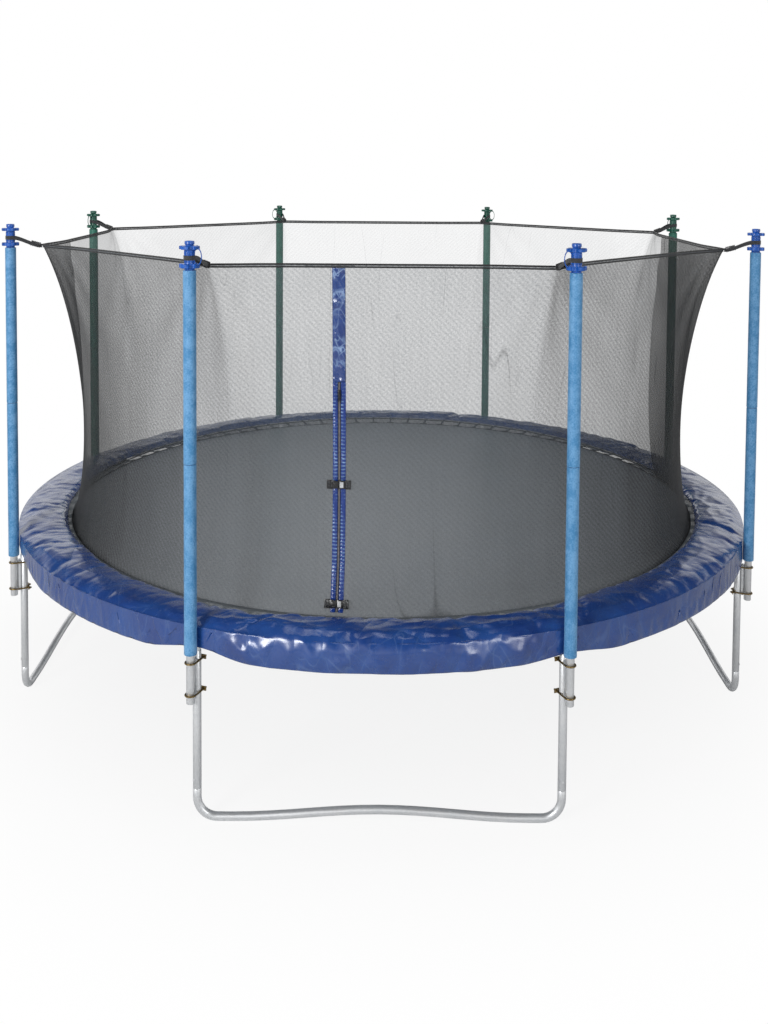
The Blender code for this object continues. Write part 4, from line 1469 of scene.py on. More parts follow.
@dataclass
class SpringPad:
    """The padded vinyl ring over the springs, in overlapping lengths, with its hanging skirt."""

    skirt_out: float = 2.1387
    skirt_in: float = 2.1362
    bottom: float = 0.88785
    edge: float = 0.010
    crown: float = 0.014
    rear_pull: float = 0.075
    inner_edge: tuple[tuple[float, float], ...] = (
        (0, 1.868), (180, 1.868), (214, 1.870), (234, 1.900), (253, 1.950), (268, 1.916),
        (289, 1.934), (308, 1.884), (330, 1.872),
    )  # how far the pad has slid out, by angle in degrees
    skirt_bottom: tuple[tuple[float, float], ...] = (
        (20, 0.780), (150, 0.780), (180, 0.836), (192, 0.838), (206, 0.816), (218, 0.764), (240, 0.757),
        (248, 0.796), (255, 0.756), (286, 0.756), (293, 0.776), (300, 0.752), (328, 0.754), (341, 0.772),
    )  # how low the skirt hangs, by angle in degrees
    flare: tuple[tuple[float, float], ...] = (
        (0, 0.002), (200, 0.002), (220, 0.006), (244, 0.003), (251, 0.004), (262, 0.022), (284, 0.022),
        (291, 0.004), (296, 0.004), (306, 0.010), (330, 0.004),
    )  # how far the skirt stands out, by angle in degrees
    seams: tuple[float, ...] = (30.0, 74.2, 120.8, 160.0, 192.0, 212.0, 255.5, 297.5, 339.5)
    step: float = 0.007  # thickness of the length that lies on top at a seam
    columns: int = 720
    top_rows: int = 18
    skirt_rows: int = 8
    puff: float = 0.010  # the most that the cover may move in the simulation

    def drift(self, angle: float, share: float) -> float:
        """How far a seam leans, so that it runs slightly across the pad."""
        return math.degrees(angle) + 3.5 * (share - 0.5)

    def relief(self, angle: float, share: float) -> float:
        """Height of folds and overlaps on the top of the pad.

        Args:
            angle: The angle about the middle.
            share: How far across the pad, from 0 at its inner edge to 1 at its outer edge.

        Returns:
            The height over the plain form.
        """
        turn = self.drift(angle, share)
        height = 0.0
        pucker = 0.0
        for seam in self.seams:
            past = (turn - seam + 180) % 360 - 180
            if 0 <= past < 14:
                height += self.step * (1 - ease(past / 14))
            near = math.exp(-((past / 3.2) ** 2))
            pucker += near
            height -= 0.0035 * math.exp(-((past / 0.55) ** 2))
        arc = angle * 2.0
        across = share * 0.27
        slant = ridge(arc * 5.0 + across * 9.0, across * 4.0 - arc * 1.2, 3.1)
        lean = ridge(arc * 4.0 - across * 11.0, across * 5.0 + arc * 1.6, 8.4)
        fine = ridge(arc * 14.0 + across * 6.0, across * 9.0, 5.7)
        patch = ease(0.5 + 1.3 * grain(arc * 1.7, across * 3.0, 1.9))
        height += (0.0045 * slant**3 + 0.0045 * lean**3) * (0.35 + 0.65 * patch)
        height += 0.0018 * fine**2 * (patch + 0.8 * pucker)
        height += 0.005 * grain(arc * 2.3, across * 3.0, 7.3)
        fade = ease(share / 0.10) * ease((1 - share) / 0.12)
        return height * fade

    def inner_radius(self, angle: float) -> float:
        """The radius of the pad's inner edge, which is pulled out at the rear and slightly uneven."""
        pulled = self.rear_pull * max(0.0, math.sin(angle)) ** 4
        return along(self.inner_edge, angle) + pulled + 0.004 * grain(angle * 9, 0.0, 2.2)

    def section(self, angle: float) -> Route:
        """The padded ring's outline at one angle.

        Args:
            angle: The angle about the middle.

        Returns:
            Its points, from the inner foot over the top and the skirt, and back underneath.
        """
        inner = self.inner_radius(angle)
        width = self.skirt_out - inner
        edge = self.bottom + self.edge
        points = [(inner + 0.006, self.bottom), (inner + 0.001, self.bottom + 0.0025), (inner, edge - 0.003)]
        for i in range(1, self.top_rows):
            share = i / self.top_rows
            lift = self.crown * math.sin(math.pi * share**0.9) ** 0.6 + self.relief(angle, share)
            points.append((inner + (width - 0.022) * share, edge + max(-0.004, lift)))
        out = self.skirt_out
        points += [(out - 0.014, edge - 0.0005), (out - 0.006, edge - 0.0035), (out - 0.0012, edge - 0.010)]
        low = along(self.skirt_bottom, angle) + 0.003 * grain(angle * 14, 0.0, 6.1)
        flare = along(self.flare, angle)
        high = edge - 0.016
        for i in range(self.skirt_rows + 1):
            share = i / self.skirt_rows
            height = high + (low - high) * share
            hang = flare * math.sin(math.pi * (0.12 + 0.80 * share))
            bands = ridge(angle * 5.0, height * 34.0 + angle * 2.0, 2.8) ** 3 * 0.34
            bands += 0.10 * grain(angle * 30, height * 14.0, 9.9)
            points.append((out + hang + flare * max(0.0, bands), height))
        points += [(self.skirt_in, low), (self.skirt_in, low + 0.03)]
        points += [(self.skirt_in, self.bottom - 0.006), (self.skirt_in - 0.004, self.bottom)]
        points += [(self.skirt_in - 0.08, self.bottom), (inner + 0.07, self.bottom)]
        return [radial(angle, radius, height) for radius, height in points]

    def held(self, row: int, rows: int) -> bool:
        """Whether a row of the outline lies underneath or inside, where the cloth is held."""
        return row < 2 or row >= rows - 7

    def wrinkle(self, pad: Object, rows: int) -> None:
        """Lets the cover crease as cloth over its filling, and keeps what fits.

        Args:
            pad: The cover in its plain form.
            rows: Points in its outline.
        """
        plain = [vertex.co.copy() for vertex in pad.data.vertices]
        group = pad.vertex_groups.new(name="held")
        group.add([i for i in range(len(plain)) if self.held(i // self.columns, rows)], 1.0, "REPLACE")
        cloth = pad.modifiers.new("cloth", "CLOTH")
        settings = cloth.settings
        settings.quality = 6
        settings.mass = 0.35
        settings.tension_stiffness = settings.compression_stiffness = 22.0
        settings.shear_stiffness = 8.0
        settings.bending_stiffness = 0.35
        settings.use_pressure = True
        settings.uniform_pressure_force = 3.2
        settings.shrink_min = -0.045
        settings.vertex_group_mass = "held"
        settings.effector_weights.gravity = 0.0
        scene = bpy.context.scene
        scene.use_gravity = False
        for frame in range(1, 21):
            scene.frame_set(frame)
        moved = pad.evaluated_get(bpy.context.evaluated_depsgraph_get()).to_mesh()
        places = [vertex.co.copy() for vertex in moved.vertices]
        pad.modifiers.clear()
        scene.frame_set(1)
        scene.use_gravity = True
        for vertex, start, place in zip(pad.data.vertices, plain, places):
            shift = place - start
            if shift.length > self.puff:
                shift *= self.puff / shift.length
            vertex.co = self.within(start + shift)
        most = max((a - b).length for a, b in zip(plain, places))
        log.info("spring pad: cloth settled, largest move %.1f mm", 1000 * most)

    def within(self, place: Vector) -> Vector:
        """A point of the cover, moved clear of the rim, the springs and the poles."""
        reach = math.hypot(place.x, place.y)
        angle = math.atan2(place.y, place.x)
        off_pole = abs(math.degrees(angle) % 45 - 22.5)
        most = 2.1389 if off_pole < 1.6 else 2.1389 + 0.030 * ease((off_pole - 1.6) / 3)
        least = self.skirt_in if place.z < self.bottom else 0.0
        height = max(place.z, self.bottom) if reach < self.skirt_in - 0.0005 else place.z
        return radial(angle, min(most, max(least, reach)), height)

    def build(self) -> None:
        """Builds the pad's cover, lets it wrinkle as cloth, and dresses it."""
        sections = [self.section(2 * math.pi * i / self.columns) for i in range(self.columns)]
        rows = len(sections[0])
        reach = [0.0]
        for before, after in zip(sections[0], sections[0][1:] + sections[0][:1]):
            reach.append(reach[-1] + (after - before).length)
        step = 2 * math.pi * 2.0 / self.columns  # along the pad's middle, 2 m from the centre
        vertices = [sections[c][r] for r in range(rows) for c in range(self.columns)]
        faces, uvs = [], []
        for r in range(rows):
            for c in range(self.columns):
                corners = ((c, r), (c, r + 1), (c + 1, r + 1), (c + 1, r))
                faces.append([(row % rows) * self.columns + column % self.columns for column, row in corners])
                uvs += [value for column, row in corners for value in (column * step, reach[row])]
        mesh = bpy.data.meshes.new("spring_pad_cover")
        mesh.from_pydata(vertices, [], faces)
        mesh.uv_layers.new(name="Fabric").data.foreach_set("uv", uvs)
        pad = link(bpy.data.objects.new("spring_pad_cover", mesh))
        self.wrinkle(pad, rows)
        refine(pad, "SUBSURF", levels=1, render_levels=1)
        close_up(pad)
        VINYL.on(pad)
        pad.data.shade_smooth()
        ride(pad, "frame", "spring_pad", slot="blue_vinyl")
        self.backing()
        self.edge_shadow_strip()
        log.info("spring pad: cover, skirt, its backing and binding")

    def edge_shadow_strip(self) -> None:
        """A black strip on the pad's inner edge, at the rear: a painted shadow under the edge."""
        columns = 200
        first, last = math.radians(6), math.radians(174)

        def point(column: int, row: int) -> Vector:
            angle = first + (last - first) * column / columns
            return radial(angle, self.inner_radius(angle) + 0.0005, self.bottom - (0.0080, 0.0040, -0.0010)[row])

        # painted shadow: a black strip where the pad's edge casts its shade
        edge_shadow_strip = sheet_mesh("pad_binding", columns, 2, point, False, lambda c, r: (r * 0.005, c * 0.028))
        ride(CORD.on(edge_shadow_strip), "frame", slot="blue_vinyl")

    def backing(self) -> None:
        """The white back of the skirt, which shows between the springs."""
        columns = 240

        def point(column: int, row: int) -> Vector:
            angle = 2 * math.pi * column / columns
            low = along(self.skirt_bottom, angle) + 0.008
            return radial(angle, self.skirt_in - 0.0005, low + (self.bottom - 0.004 - low) * row / 3)

        back = sheet_mesh("skirt_backing", columns, 3, point, True, lambda c, r: (c * 0.056, r * 0.03))
        ride(BACKING.on(back), "frame", slot="blue_vinyl")


@dataclass
class SafetyNet:
    """The net in eight sewn panels, its corded hem, and its corner straps."""

    bottom: float = 0.8743
    top: float = 2.475
    hem: float = 0.018
    foot_radius: float = 1.8503
    corner_radius: float = 1.965
    waist: float = 0.060
    waist_power: float = 0.6
    corner_power: float = 2.6
    tip: float = 0.042  # how far the strap pulls the very corner out of the hem's line
    apron_width: float = 0.160
    apron_span: tuple[float, float] = (math.radians(158.0), math.radians(382.0))
    columns: int = 60
    rows: int = 48
    seam_angle: float = math.radians(12.0)
    door_angle: float = math.radians(263.8)
    level_half: float = 0.040  # half of the level stretch behind the door
    level_rows: int = 7  # straight lengths in the door's line, as in the solid

    def off_door(self, angle: float) -> float:
        """How far an angle is from the door's, between minus and plus half a turn."""
        return (angle - self.door_angle + math.pi) % (2 * math.pi) - math.pi

    def door_reach(self, height: float) -> float:
        """The radius of the door's line, which runs straight between the rows of the solid net."""
        span = (self.top - self.hem - self.bottom) / self.level_rows
        row = min(self.level_rows - 1, max(0, int((height - self.bottom) / span)))
        low = self.bottom + row * span
        first, second = (self.bare_radius(self.door_angle, level) for level in (low, low + span))
        return first + (second - first) * (height - low) / span

    def radius(self, angle: float, height: float) -> float:
        """The net's outer face.

        Args:
            angle: The angle about the middle.
            height: The height above the floor.

        Returns:
            Its radius there, level across the door.
        """
        turn = self.off_door(angle)
        plain = self.bare_radius(angle, height)
        near = 1 - ease((abs(turn) * 1.8 - self.level_half) / 0.10)
        if near <= 0.0:
            return plain
        return plain + (self.door_reach(height) / math.cos(turn) - plain) * near

    def bare_radius(self, angle: float, height: float) -> float:
        """The waisted tube that spreads to a corner at each pole."""
        share = min(1.0, max(0.0, (height - self.bottom) / (self.top - self.bottom)))
        side = self.corner_radius * math.cos(SECTOR / 2)
        from_middle = (angle / SECTOR + 0.5) % 1.0 * SECTOR - SECTOR / 2
        level = self.foot_radius + (side - self.foot_radius) * share
        waist = self.waist * math.sin(math.pi * share**self.waist_power)
        corner = side * (1 / math.cos(from_middle) - 1) * share**self.corner_power
        near = (SECTOR / 2 - abs(from_middle)) / 0.085
        return level - waist + corner + self.tip * math.exp(-(near**2)) * share**7

    def folds(self, angle: float, height: float) -> float:
        """Pulled folds that run down from the corners, and soft waves."""
        from_corner = (angle / SECTOR) % 1.0 - 0.5
        across = from_corner * SECTOR * 1.85
        down = self.top - height
        reach = math.hypot(across, down)
        calm = ease((abs(self.off_door(angle)) * 1.8 - self.level_half) / 0.15)
        fan = math.atan2(across, down + 0.05)
        fade = math.exp(-reach / 0.75) * ease(reach / 0.15)
        pulled = 0.0055 * fade * math.sin(15 * fan + 3.0 * grain(angle * 3, 0, 1.3))
        waves = 0.004 * grain(angle * 9, height * 0.9, 4.0) * ease(down / 0.3) * ease((height - 0.9) / 0.3)
        return (pulled + waves) * calm

    def apron(self) -> None:
        """The net's foot, which turns outward under the pad."""
        columns = 300
        first, last = self.apron_span

        def point(column: int, row: int) -> Vector:
            angle = first + (last - first) * column / columns
            reach = self.radius(angle, self.bottom) - 0.0012 + (0.0, 0.004, 0.040, self.apron_width)[row]
            return radial(angle, reach, (self.bottom + 0.0015, 0.8795, 0.8805, 0.8815)[row])

        apron = sheet_mesh("net_foot", columns, 3, point, False, lambda c, r: (c * 0.0243, r * 0.03))
        FOOT_MESH.on(apron)
        ride(apron, "frame", slot="net_fabric")

    def panels(self) -> None:
        """Eight panels of mesh, sewn edge to edge."""
        high = self.top - self.hem + 0.002
        for index in range(LEG_COUNT):
            start = self.seam_angle + index * SECTOR

            def point(column: int, row: int) -> Vector:
                angle = start + SECTOR * column / self.columns
                height = self.bottom + (high - self.bottom) * row / self.rows
                return radial(angle, self.radius(angle, height) - 0.0008 + self.folds(angle, height), height)

            width = SECTOR * 1.82
            obj = sheet_mesh(
                f"net_panel_{index + 1}", self.columns, self.rows, point, False,
                lambda c, r: (index * width + width * c / self.columns, (high - self.bottom) * r / self.rows),
            )
            # the rear four panels take the net with painted light
            (NET_MESH if index > 3 else REAR_MESH_PAINTED_LIGHT).on(obj)
            ride(obj, "frame", "safety_net", slot="net_fabric")

    def hems(self) -> None:
        """The doubled hem with its two cords."""
        columns = 320
        low, high = self.top - self.hem, self.top

        def wall(column: int, row: int) -> Vector:
            angle = 2 * math.pi * column / columns
            height = low + (high - low) * row / 3
            bulge = 0.0015 if row in (1, 2) else 0.0
            return radial(angle, self.bare_radius(angle, height) + bulge, height)

        hem = sheet_mesh("net_hem", columns, 3, wall, True, lambda c, r: (c * 0.036, r * 0.006))
        HEM_MESH.on(hem)
        ride(hem, "frame", slot="net_fabric")
        cords = []
        for name, height, size in (("cord_high", high - 0.0035, 0.0042), ("cord_low", low + 0.002, 0.0036)):

            def cord(column: int, row: int) -> Vector:
                angle = 2 * math.pi * column / columns
                turn = 2 * math.pi * row / 8
                radius = self.bare_radius(angle, height) + size * math.cos(turn)
                return radial(angle, radius, height + size * math.sin(turn))

            ring = sheet_mesh(name, columns, 8, cord, True, lambda c, r: (r * 0.003, c * 0.036))
            close_up(ring)
            CORD.on(ring)
            cords.append(ring)
        obj = joined("net_hem_cords", cords)
        obj.data.shade_smooth()
        ride(obj, "frame", slot="net_fabric")

    def straps(self) -> None:
        """A strap from each corner round its cap's neck, with a ribbed tensioner."""
        height = 2.460 + 0.009 + 0.019 + 0.014 + 0.011
        neck = radial(0, 2.168, height)
        corner = radial(0, self.corner_radius + self.tip - 0.001, self.top - self.hem / 2)
        loop = 0.023 + 0.0003 + 0.0015
        toward = corner - neck
        wrap = math.pi / 2 + math.asin(loop / toward.length)
        route: Route = []
        slant = corner.z - neck.z
        for side in (1, -1):
            run = [corner + Vector((0.0, side * 0.0022, 0.0))]
            tangent = neck + Vector((loop * math.cos(wrap), side * loop * math.sin(wrap), 0))
            for i in range(1, 12):
                spot = run[0].lerp(tangent, i / 12)
                spot.z = corner.z - slant * ease(i / 12)
                run.append(spot)
            route += run if side > 0 else []
            if side > 0:
                turns = [wrap - 2 * wrap * i / 20 for i in range(21)]
                route += [neck + Vector((loop * math.cos(t), loop * math.sin(t), 0)) for t in turns]
            else:
                route += reversed(run)
        strap = WEBBING.on(ribbon("strap", route, [UP] * len(route), 0.020, 0.0024))
        heading = (neck - corner).normalized()
        sleeve = self.tensioner(corner, heading)
        for index in range(LEG_COUNT):
            turn = Matrix.Rotation(leg_angle(index), 4, "Z")
            ride(moved_copy(strap, f"corner_strap_{index + 1}", turn), "frame", slot="net_fabric")
            ride(moved_copy(sleeve, f"strap_tensioner_{index + 1}", turn), "frame", slot="black_plastic")
        remove(strap)
        remove(sleeve)

    def tensioner(self, corner: Vector, heading: Vector) -> Object:
        """The ribbed plastic sleeve on a strap at the net's corner."""
        turn = heading.to_track_quat("X", "Z").to_matrix()
        middle = corner + heading * 0.034
        parts = [block("body", middle, turn, (0.050, 0.0125, 0.026), 0.0025)]
        for i in range(6):
            spot = corner + heading * (0.012 + i * 0.009)
            parts.append(block("rib", spot, turn, (0.0042, 0.0158, 0.0295), 0.0012))
        return BLACK_PLASTIC.on(smooth(joined("tensioner", parts), 40))

    def build(self) -> None:
        """Builds and dresses the net."""
        self.panels()
        self.apron()
        self.hems()
        self.straps()
        log.info("safety net: panels, hem, straps and tensioners")


@dataclass
class NetDoor:
    """The door: a vinyl strip, two puckered tapes with a zip between, its slider and two buckles."""

    net: SafetyNet
    half: float = 0.030
    seat: float = 0.0003
    chain_half: float = 0.0065
    tape_low: float = 0.8953
    zip_top: float = 1.940
    strip_top: float = 2.4555
    slider_height: float = 1.885
    slider_travel: float = 0.345
    buckle_heights: dict[str, float] = field(default_factory=lambda: {"upper": 1.465, "lower": 0.932})
    buckle_half: float = 0.055
    buckle_tall: float = 0.040
    buckle_level: float = 0.0131  # of its middle over the net

    @property
    def across(self) -> Vector:
        """The way across the door, to the right from outside."""
        return radial(self.net.door_angle + math.pi / 2)

    def line(self, height: float) -> Vector:
        """The point of the net under the middle of the door."""
        return radial(self.net.door_angle, self.net.door_reach(height), height)

    def frame_at(self, height: float, below: float) -> Matrix:
        """A place on the door: X across, Y up along it and Z out of it.

        Args:
            height: The height of the place.
            below: How far down the door the point lies that it is level with.

        Returns:
            The place as a matrix.
        """
        here, lower = self.line(height), self.line(height - below)
        away = self.across.cross(here - lower).normalized()
        axes = Matrix((self.across, away.cross(self.across), away)).transposed().to_4x4()
        return Matrix.Translation(here) @ axes

    def band(
        self, name: str, sides: tuple[float, float], span: tuple[float, float], step: float,
        relief: Callable[[float, float], float],
    ) -> Object:
        """A strip of sheet on the net with folds in it.

        Args:
            name: The piece's name.
            sides: Its left and right edge from the door's middle.
            span: Its lower and upper end.
            step: The length of one row.
            relief: Its height over the net by place across and up.

        Returns:
            The closed strip.
        """
        (left, right), (low, high) = sides, span
        columns = max(4, round((right - left) / 0.004))
        rows = round((high - low) / step)
        away = radial(self.net.door_angle)

        def point(column: int, row: int) -> Vector:
            x = left + (right - left) * column / columns
            height = low + (high - low) * row / rows
            return self.line(height) + self.across * x + away * (self.seat + 0.0012 + relief(x, height))

        strip = sheet_mesh(
            name, columns, rows, point, False, lambda c, r: ((right - left) * c / columns, (high - low) * r / rows)
        )
        refine(strip, "SOLIDIFY", thickness=0.0011, offset=-1.0)
        strip.data.shade_smooth()
        return strip

    def strip_relief(self, x: float, height: float) -> float:
        """Folds of the vinyl strip above the zip."""
        edge = ease((self.half - abs(x)) / 0.006)
        lower_hem = 0.0016 * ease((self.zip_top + 0.016 - height) / 0.003)
        top_hem = 0.0012 * ease((height - self.strip_top + 0.022) / 0.003)
        level = ridge(x * 14, height * 30 + x * 9, 4.4) ** 3 * ease(0.5 + 2.2 * grain(0.0, height * 7.0, 1.1))
        slant = ridge(x * 30 + height * 9, height * 6 - x * 14, 6.6) ** 3
        swell = 0.5 + 0.5 * grain(x * 12, height * 9, 2.5)
        return lower_hem + top_hem + edge * (0.0048 * level + 0.0034 * slant + 0.0024 * swell)

    def tape_relief(self, x: float, height: float) -> float:
        """Cross puckers of a tape, and its two stitched edges."""
        rhythm = 0.5 + 0.5 * math.sin(2 * math.pi * (height / 0.0165 + 0.35 * grain(x * 60, height * 9, 3.3)))
        strength = 0.35 + 0.65 * ease(0.5 + 1.6 * grain(x * 9, height * 3.1, 7.7))
        middle = (self.half + self.chain_half) / 2
        edge = ease((self.half - abs(x)) / 0.004) * ease((abs(x) - self.chain_half) / 0.004)
        stitch = -0.0009 * math.exp(-(((abs(x) - self.half + 0.0045) / 0.0012) ** 2))
        bow = 0.0012 * (1 - ((abs(x) - middle) / (self.half - middle)) ** 2)
        return edge * (0.0021 * rhythm * strength + max(0.0, bow)) + stitch

    def strips(self) -> None:
        """The vinyl strip, the two tapes and the zip's own black tape."""
        half, chain = self.half, self.chain_half
        upper, lower = (self.zip_top - 0.004, self.strip_top), (self.tape_low, self.zip_top)
        for name, finish, sides, span, step, relief in (
            ("door_strip", STRIP_VINYL, (-half, half), upper, 0.004, self.strip_relief),
            ("door_tape_left", TAPE_VINYL, (-half, -chain), lower, 0.0026, self.tape_relief),
            ("door_tape_right", TAPE_VINYL, (chain, half), lower, 0.0026, self.tape_relief),
        ):
            strip = finish.on(self.band(name, sides, span, step, relief))
            ride(strip, "frame", "door_zip", slot="door_tape")
        reach = chain + 0.002
        inner = self.band("zip_tape", (-reach, reach), lower, 0.02, lambda x, h: -0.0004)
        ride(WEBBING.on(inner), "frame", slot="door_tape")

    def teeth(self) -> None:
        """The zip's meshed teeth, from the foot of the door to its top."""
        pitch = 0.004
        rows = int((self.zip_top - self.tape_low - 0.010) / pitch)
        pattern = block("tooth", Vector((0, 0, 0)), Matrix.Identity(3), (0.0046, 0.0017, 0.0022), 0.0)
        away = radial(self.net.door_angle)
        copies = []
        for i in range(2 * rows):
            side = 1 if i % 2 else -1
            height = self.tape_low + 0.006 + i * pitch / 2
            spot = self.line(height) + self.across * (side * 0.0013) + away * 0.0036
            axes = self.frame_at(height, 0.01).to_3x3().to_4x4()
            copies.append(moved_copy(pattern, "tooth_one", Matrix.Translation(spot) @ axes))
        chain = TEETH.on(joined("zip_teeth", copies))
        ride(chain, "frame", slot="door_tape")
        remove(pattern)

    def slider(self) -> None:
        """The slider with its bridge and pull tab."""
        spot = self.frame_at(self.slider_height, self.slider_travel)
        axes, level = spot.to_3x3(), 0.0065
        parts = []
        for x, y, z, size, bevel in (
            (0, 0, level + 0.0022, (0.013, 0.018, 0.0036), 0.0012),
            (0, 0.0105, level + 0.0020, (0.011, 0.010, 0.0030), 0.0010),
            (0, 0.001, level + 0.0052, (0.0030, 0.016, 0.0016), 0.0006),
            (0, 0.0085, level + 0.0042, (0.0030, 0.0016, 0.0034), 0.0004),
            (0, -0.0065, level + 0.0042, (0.0030, 0.0016, 0.0034), 0.0004),
        ):
            parts.append(block("slider_part", spot @ Vector((x, y, z)), axes, size, bevel))
        pull = block("pull", spot @ Vector((0, -0.020, level + 0.0060)), axes, (0.0085, 0.038, 0.0024), 0.0008)
        away = axes.col[2]
        with editing(pull):
            pick(pull, lambda middle, normal: normal.dot(away) > 0.95)
            bpy.ops.mesh.inset(thickness=0.0016, depth=-0.0007)
        parts.append(pull)
        obj = BLACK_PLASTIC.on(smooth(joined("slider_with_pull", parts), 35))
        ride(obj, "slider", "zip_slider", slot="black_plastic")

    def ribbed(self, spot: Matrix, left: float, right: float, ribs: int) -> list[Object]:
        """The strap end of a buckle half: an open frame crossed by ribs.

        Args:
            spot: The buckle's place.
            left: Its left side.
            right: Its right side.
            ribs: The number of ribs.

        Returns:
            Its parts.
        """
        axes, level, tall = spot.to_3x3(), self.buckle_level, self.buckle_tall
        parts = []
        for y in (-1, 1):
            middle = Vector(((left + right) / 2, y * (tall / 2 - 0.0022), level))
            parts.append(block("rail_bar", spot @ middle, axes, (right - left, 0.0044, 0.0105), 0.0012))
        for i in range(ribs):
            x = left + 0.0022 + (right - left - 0.0044) * i / (ribs - 1)
            size = (0.0042, tall - 0.004, 0.0125 if i % (ribs - 1) else 0.0140)
            parts.append(block("rib_bar", spot @ Vector((x, 0, level)), axes, size, 0.0013))
        return parts

    def buckle(self, name: str, height: float) -> None:
        """A side-release buckle: the socket on the net, and the clip that slides out of it."""
        spot = self.frame_at(height, self.buckle_tall)
        axes, level, tall = spot.to_3x3(), self.buckle_level, self.buckle_tall
        body = block("body", spot @ Vector((-0.0155, 0, level)), axes, (0.0300, tall - 0.003, 0.0135), 0.0024)
        pocket = block("pocket", spot @ Vector((-0.0130, 0, level)), axes, (0.0300, tall - 0.0085, 0.0085))
        cut(body, pocket)
        for y in (-1, 1):
            gap = block("gap", spot @ Vector((-0.0120, y * tall / 2, level)), axes, (0.0130, 0.0150, 0.0200))
            cut(body, gap)
        raised = block("raised", spot @ Vector((-0.0150, 0, level + 0.0064)), axes, (0.0180, 0.0150, 0.0010), 0.0004)
        tab = block("tab", spot @ Vector((-0.0190, 0, 0.0050)), axes, (0.0160, 0.0250, 0.0040), 0.0008)
        frame = self.ribbed(spot, -self.buckle_half, -0.0300, 4)
        socket = joined(f"{name}_buckle_socket", [body, raised, tab, *frame])
        ride(BLACK_PLASTIC.on(smooth(socket, 35)), "frame", slot="black_plastic")
        bridge = block("bridge", spot @ Vector((0.0150, 0, level)), axes, (0.0280, tall - 0.004, 0.0125), 0.0022)
        prongs = [bridge]
        for y in (-1, 0, 1):
            centre = spot @ Vector((-0.0125, y * 0.0118, level))
            prongs.append(block("prong", centre, axes, (0.0300, 0.0044 if y else 0.0040, 0.0058), 0.0012))
        for y in (-1, 1):
            wing = spot @ Vector((-0.0130, y * 0.0136, level))
            prongs.append(block("wing", wing, axes, (0.0100, 0.0040, 0.0058), 0.0012))
        clip = joined(f"{name}_buckle_clip_body", [*prongs, *self.ribbed(spot, 0.0290, self.buckle_half, 4)])
        body_name = f"{name}_clip"
        ride(BLACK_PLASTIC.on(smooth(clip, 35)), body_name, f"{name}_buckle_clip", slot="black_plastic")
        # painted highlight: a pale grey plate on the middle of the black clip
        face = block("face", spot @ Vector((0.0130, 0, level + 0.0064)), axes, (0.0170, tall - 0.014, 0.0012), 0.0005)
        face.name = face.data.name = f"{name}_buckle_clip_highlight"
        ride(CLIP_HIGHLIGHT_PAINT.on(smooth(face, 35)), body_name, slot="black_plastic")

    def build(self) -> None:
        """Builds and dresses the door."""
        self.strips()
        self.teeth()
        self.slider()
        for name, height in self.buckle_heights.items():
            self.buckle(name, height)
        log.info("door: strip, tapes, zip, slider and buckles")


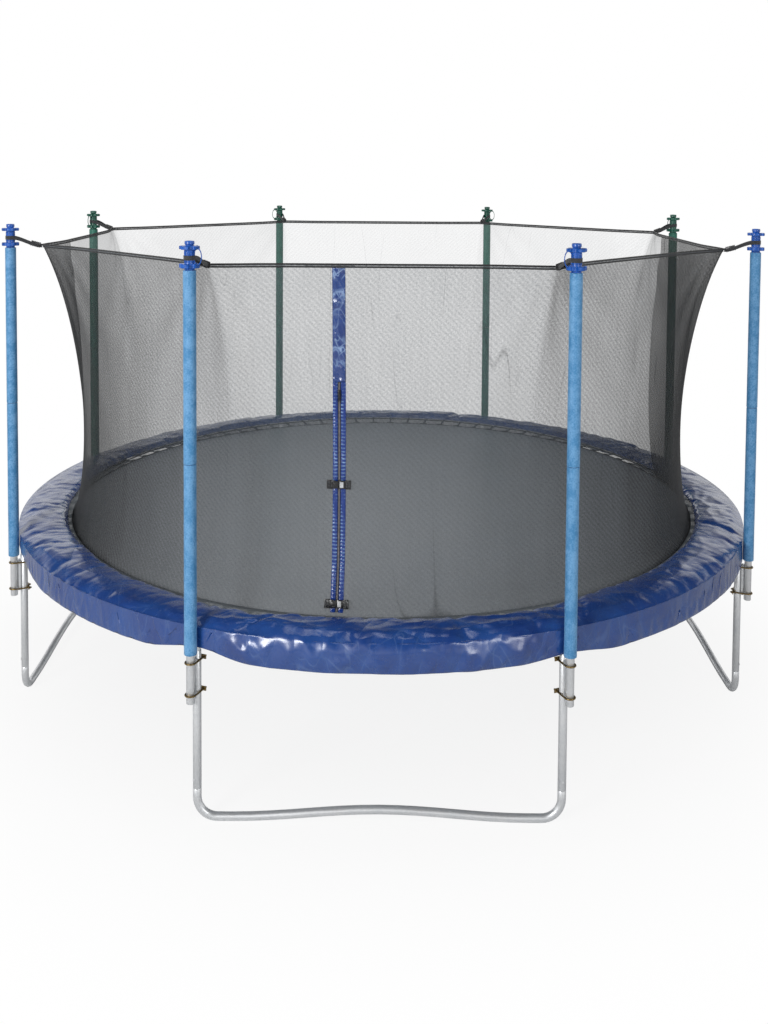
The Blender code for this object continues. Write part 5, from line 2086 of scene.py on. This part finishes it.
@dataclass
class Studio:
    """Camera, floor, world and lamps."""

    distance: float = 6.61
    eye: float = 2.916
    frame: tuple[float, float] = (768.0, 1024.0)  # the picture's width and height
    focal: float = 1078.0  # in pixels of the picture
    middle: tuple[float, float] = (383.3, 219.8)
    pitch: float = 0.0509
    roll: float = -0.0066
    floor_gloss: float = 0.10  # how much of the floor's white is left in reflections
    floor_fade: tuple[float, ...] = (1.2, 3.4, 0.86, 1.0)  # radii, and how white the floor is there
    soft_light: float = 0.38  # strength of the world's light on matt surfaces
    ceiling: tuple[float, ...] = (0.33, 0.52, 1.0, 0.06)  # steepness, and how bright reflections are there
    flag: tuple[tuple[float, float], ...] = (
        (0.50, 1.0), (0.56, 0.30), (0.615, 0.25), (0.64, 1.0),
    )  # a dark upright flag to the right, in reflections: place and brightness

    def camera(self) -> None:
        """The camera, where the picture was taken from."""
        data = bpy.data.cameras.new("camera")
        data.sensor_width = 36.0
        data.lens = self.focal * data.sensor_width / self.frame[1]
        data.shift_x = (self.frame[0] / 2 - self.middle[0]) / self.frame[1]
        data.shift_y = -(self.frame[1] / 2 - self.middle[1]) / self.frame[1]
        data.clip_end = 500.0
        obj = bpy.data.objects.new("camera", data)
        turn = Matrix.Rotation(math.pi / 2 - self.pitch, 4, "X") @ Matrix.Rotation(-self.roll, 4, "Z")
        obj.matrix_world = Matrix.Translation((0, -self.distance, self.eye)) @ turn
        bpy.context.scene.camera = link(obj)

    def floor(self) -> None:
        """A wide pale floor that goes over into the white background."""
        deselect()
        bpy.ops.mesh.primitive_circle_add(vertices=96, radius=90.0, fill_type="NGON", location=(0, 0, -0.0006))
        floor = take("studio_floor")
        settle(floor)
        material = bpy.data.materials.new("PaleFloor")
        n = Nodes(material)
        path = n.add("LightPath").outputs
        seen = n.math("MAXIMUM", path["Is Camera Ray"], path["Is Transmission Ray"])
        seen = n.math("MAXIMUM", seen, n.math("MULTIPLY", path["Is Glossy Ray"], self.floor_gloss))
        reach = n.add("VectorMath", operation="LENGTH")
        n.join(n.add("TexCoord").outputs["Object"], reach.inputs[0])
        far = n.remap(reach.outputs["Value"], *self.floor_fade)
        far.node.interpolation_type = "SMOOTHSTEP"
        mix = n.add("MixShader")
        n.join(n.math("MULTIPLY", seen, far), mix.inputs[0])
        n.join(n.add("BsdfDiffuse", Color=(0.72, 0.72, 0.72, 1)).outputs[0], mix.inputs[1])
        n.join(n.add("Emission").outputs[0], mix.inputs[2])
        n.join(mix.outputs[0], n.add("OutputMaterial").inputs["Surface"])
        floor.data.materials.append(material)

    def world(self) -> None:
        """White to the eye and in reflections, and a plain soft light on the object."""
        world = bpy.data.worlds.new("world")
        bpy.context.scene.world = world
        n = Nodes(world)
        path = n.add("LightPath").outputs
        direct = n.math("MAXIMUM", path["Is Camera Ray"], path["Is Glossy Ray"])
        direct = n.math("MAXIMUM", direct, path["Is Transmission Ray"])
        level = n.remap(direct, 0.0, 1.0, self.soft_light, 1.0)
        parts = n.add("SeparateXYZ")
        n.join(n.add("TexCoord").outputs["Generated"], parts.inputs[0])
        ceiling = n.remap(parts.outputs["Z"], *self.ceiling)
        flag = n.add("ValToRGB")
        ramp = flag.color_ramp
        for i, (place, value) in enumerate(self.flag):
            stop = ramp.elements[i] if i < 2 else ramp.elements.new(place)
            stop.position = place
            stop.color = (value, value, value, 1.0)
        n.join(n.remap(parts.outputs["X"], -1.0, 1.0, 0.0, 1.0), flag.inputs[0])
        mirrored = n.add("Mix")
        n.join(path["Is Glossy Ray"], mirrored.inputs[0])
        mirrored.inputs[2].default_value = 1.0
        n.join(n.math("MULTIPLY", ceiling, flag.outputs[0]), mirrored.inputs[3])
        back = n.add("Background", Color=(1, 1, 1, 1))
        n.join(n.math("MULTIPLY", level, mirrored.outputs[0]), back.inputs["Strength"])
        n.join(back.outputs[0], n.add("OutputWorld").inputs["Surface"])

    def lamps(self) -> None:
        """A large soft lamp to the left of the camera, and weaker ones to its right and above."""
        for name, place, size, power in (
            ("key_lamp", Vector((-4.8, -7.4, 3.9)), 2.6, 330.0),
            ("side_lamp", Vector((4.2, -7.5, 3.6)), 2.2, 95.0),
            ("top_lamp", Vector((-0.6, -0.6, 7.5)), 3.0, 60.0),
        ):
            data = bpy.data.lights.new(name, "AREA")
            data.shape = "DISK"
            data.size = size
            data.energy = power
            obj = bpy.data.objects.new(name, data)
            aim = (Vector((0, 0, 1.1)) - place).to_track_quat("-Z", "Y").to_matrix().to_4x4()
            link(obj).matrix_world = Matrix.Translation(place) @ aim

    def build(self) -> None:
        """Sets up the studio."""
        self.camera()
        self.floor()
        self.world()
        self.lamps()
        scene = bpy.context.scene
        scene.view_settings.view_transform = "Standard"
        log.info("studio: camera, floor, world and lamps")


def main() -> None:
    """Loads the frame and builds every sub-assembly."""
    logging.basicConfig(level=logging.INFO, format="%(name)s: %(message)s")
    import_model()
    Studio().build()
    SteelFrame().build()
    PoleFittings().build()
    JumpingBed().build()
    SpringPad().build()
    net = SafetyNet()
    net.build()
    NetDoor(net).build()


if __name__ == "__main__":
    main()
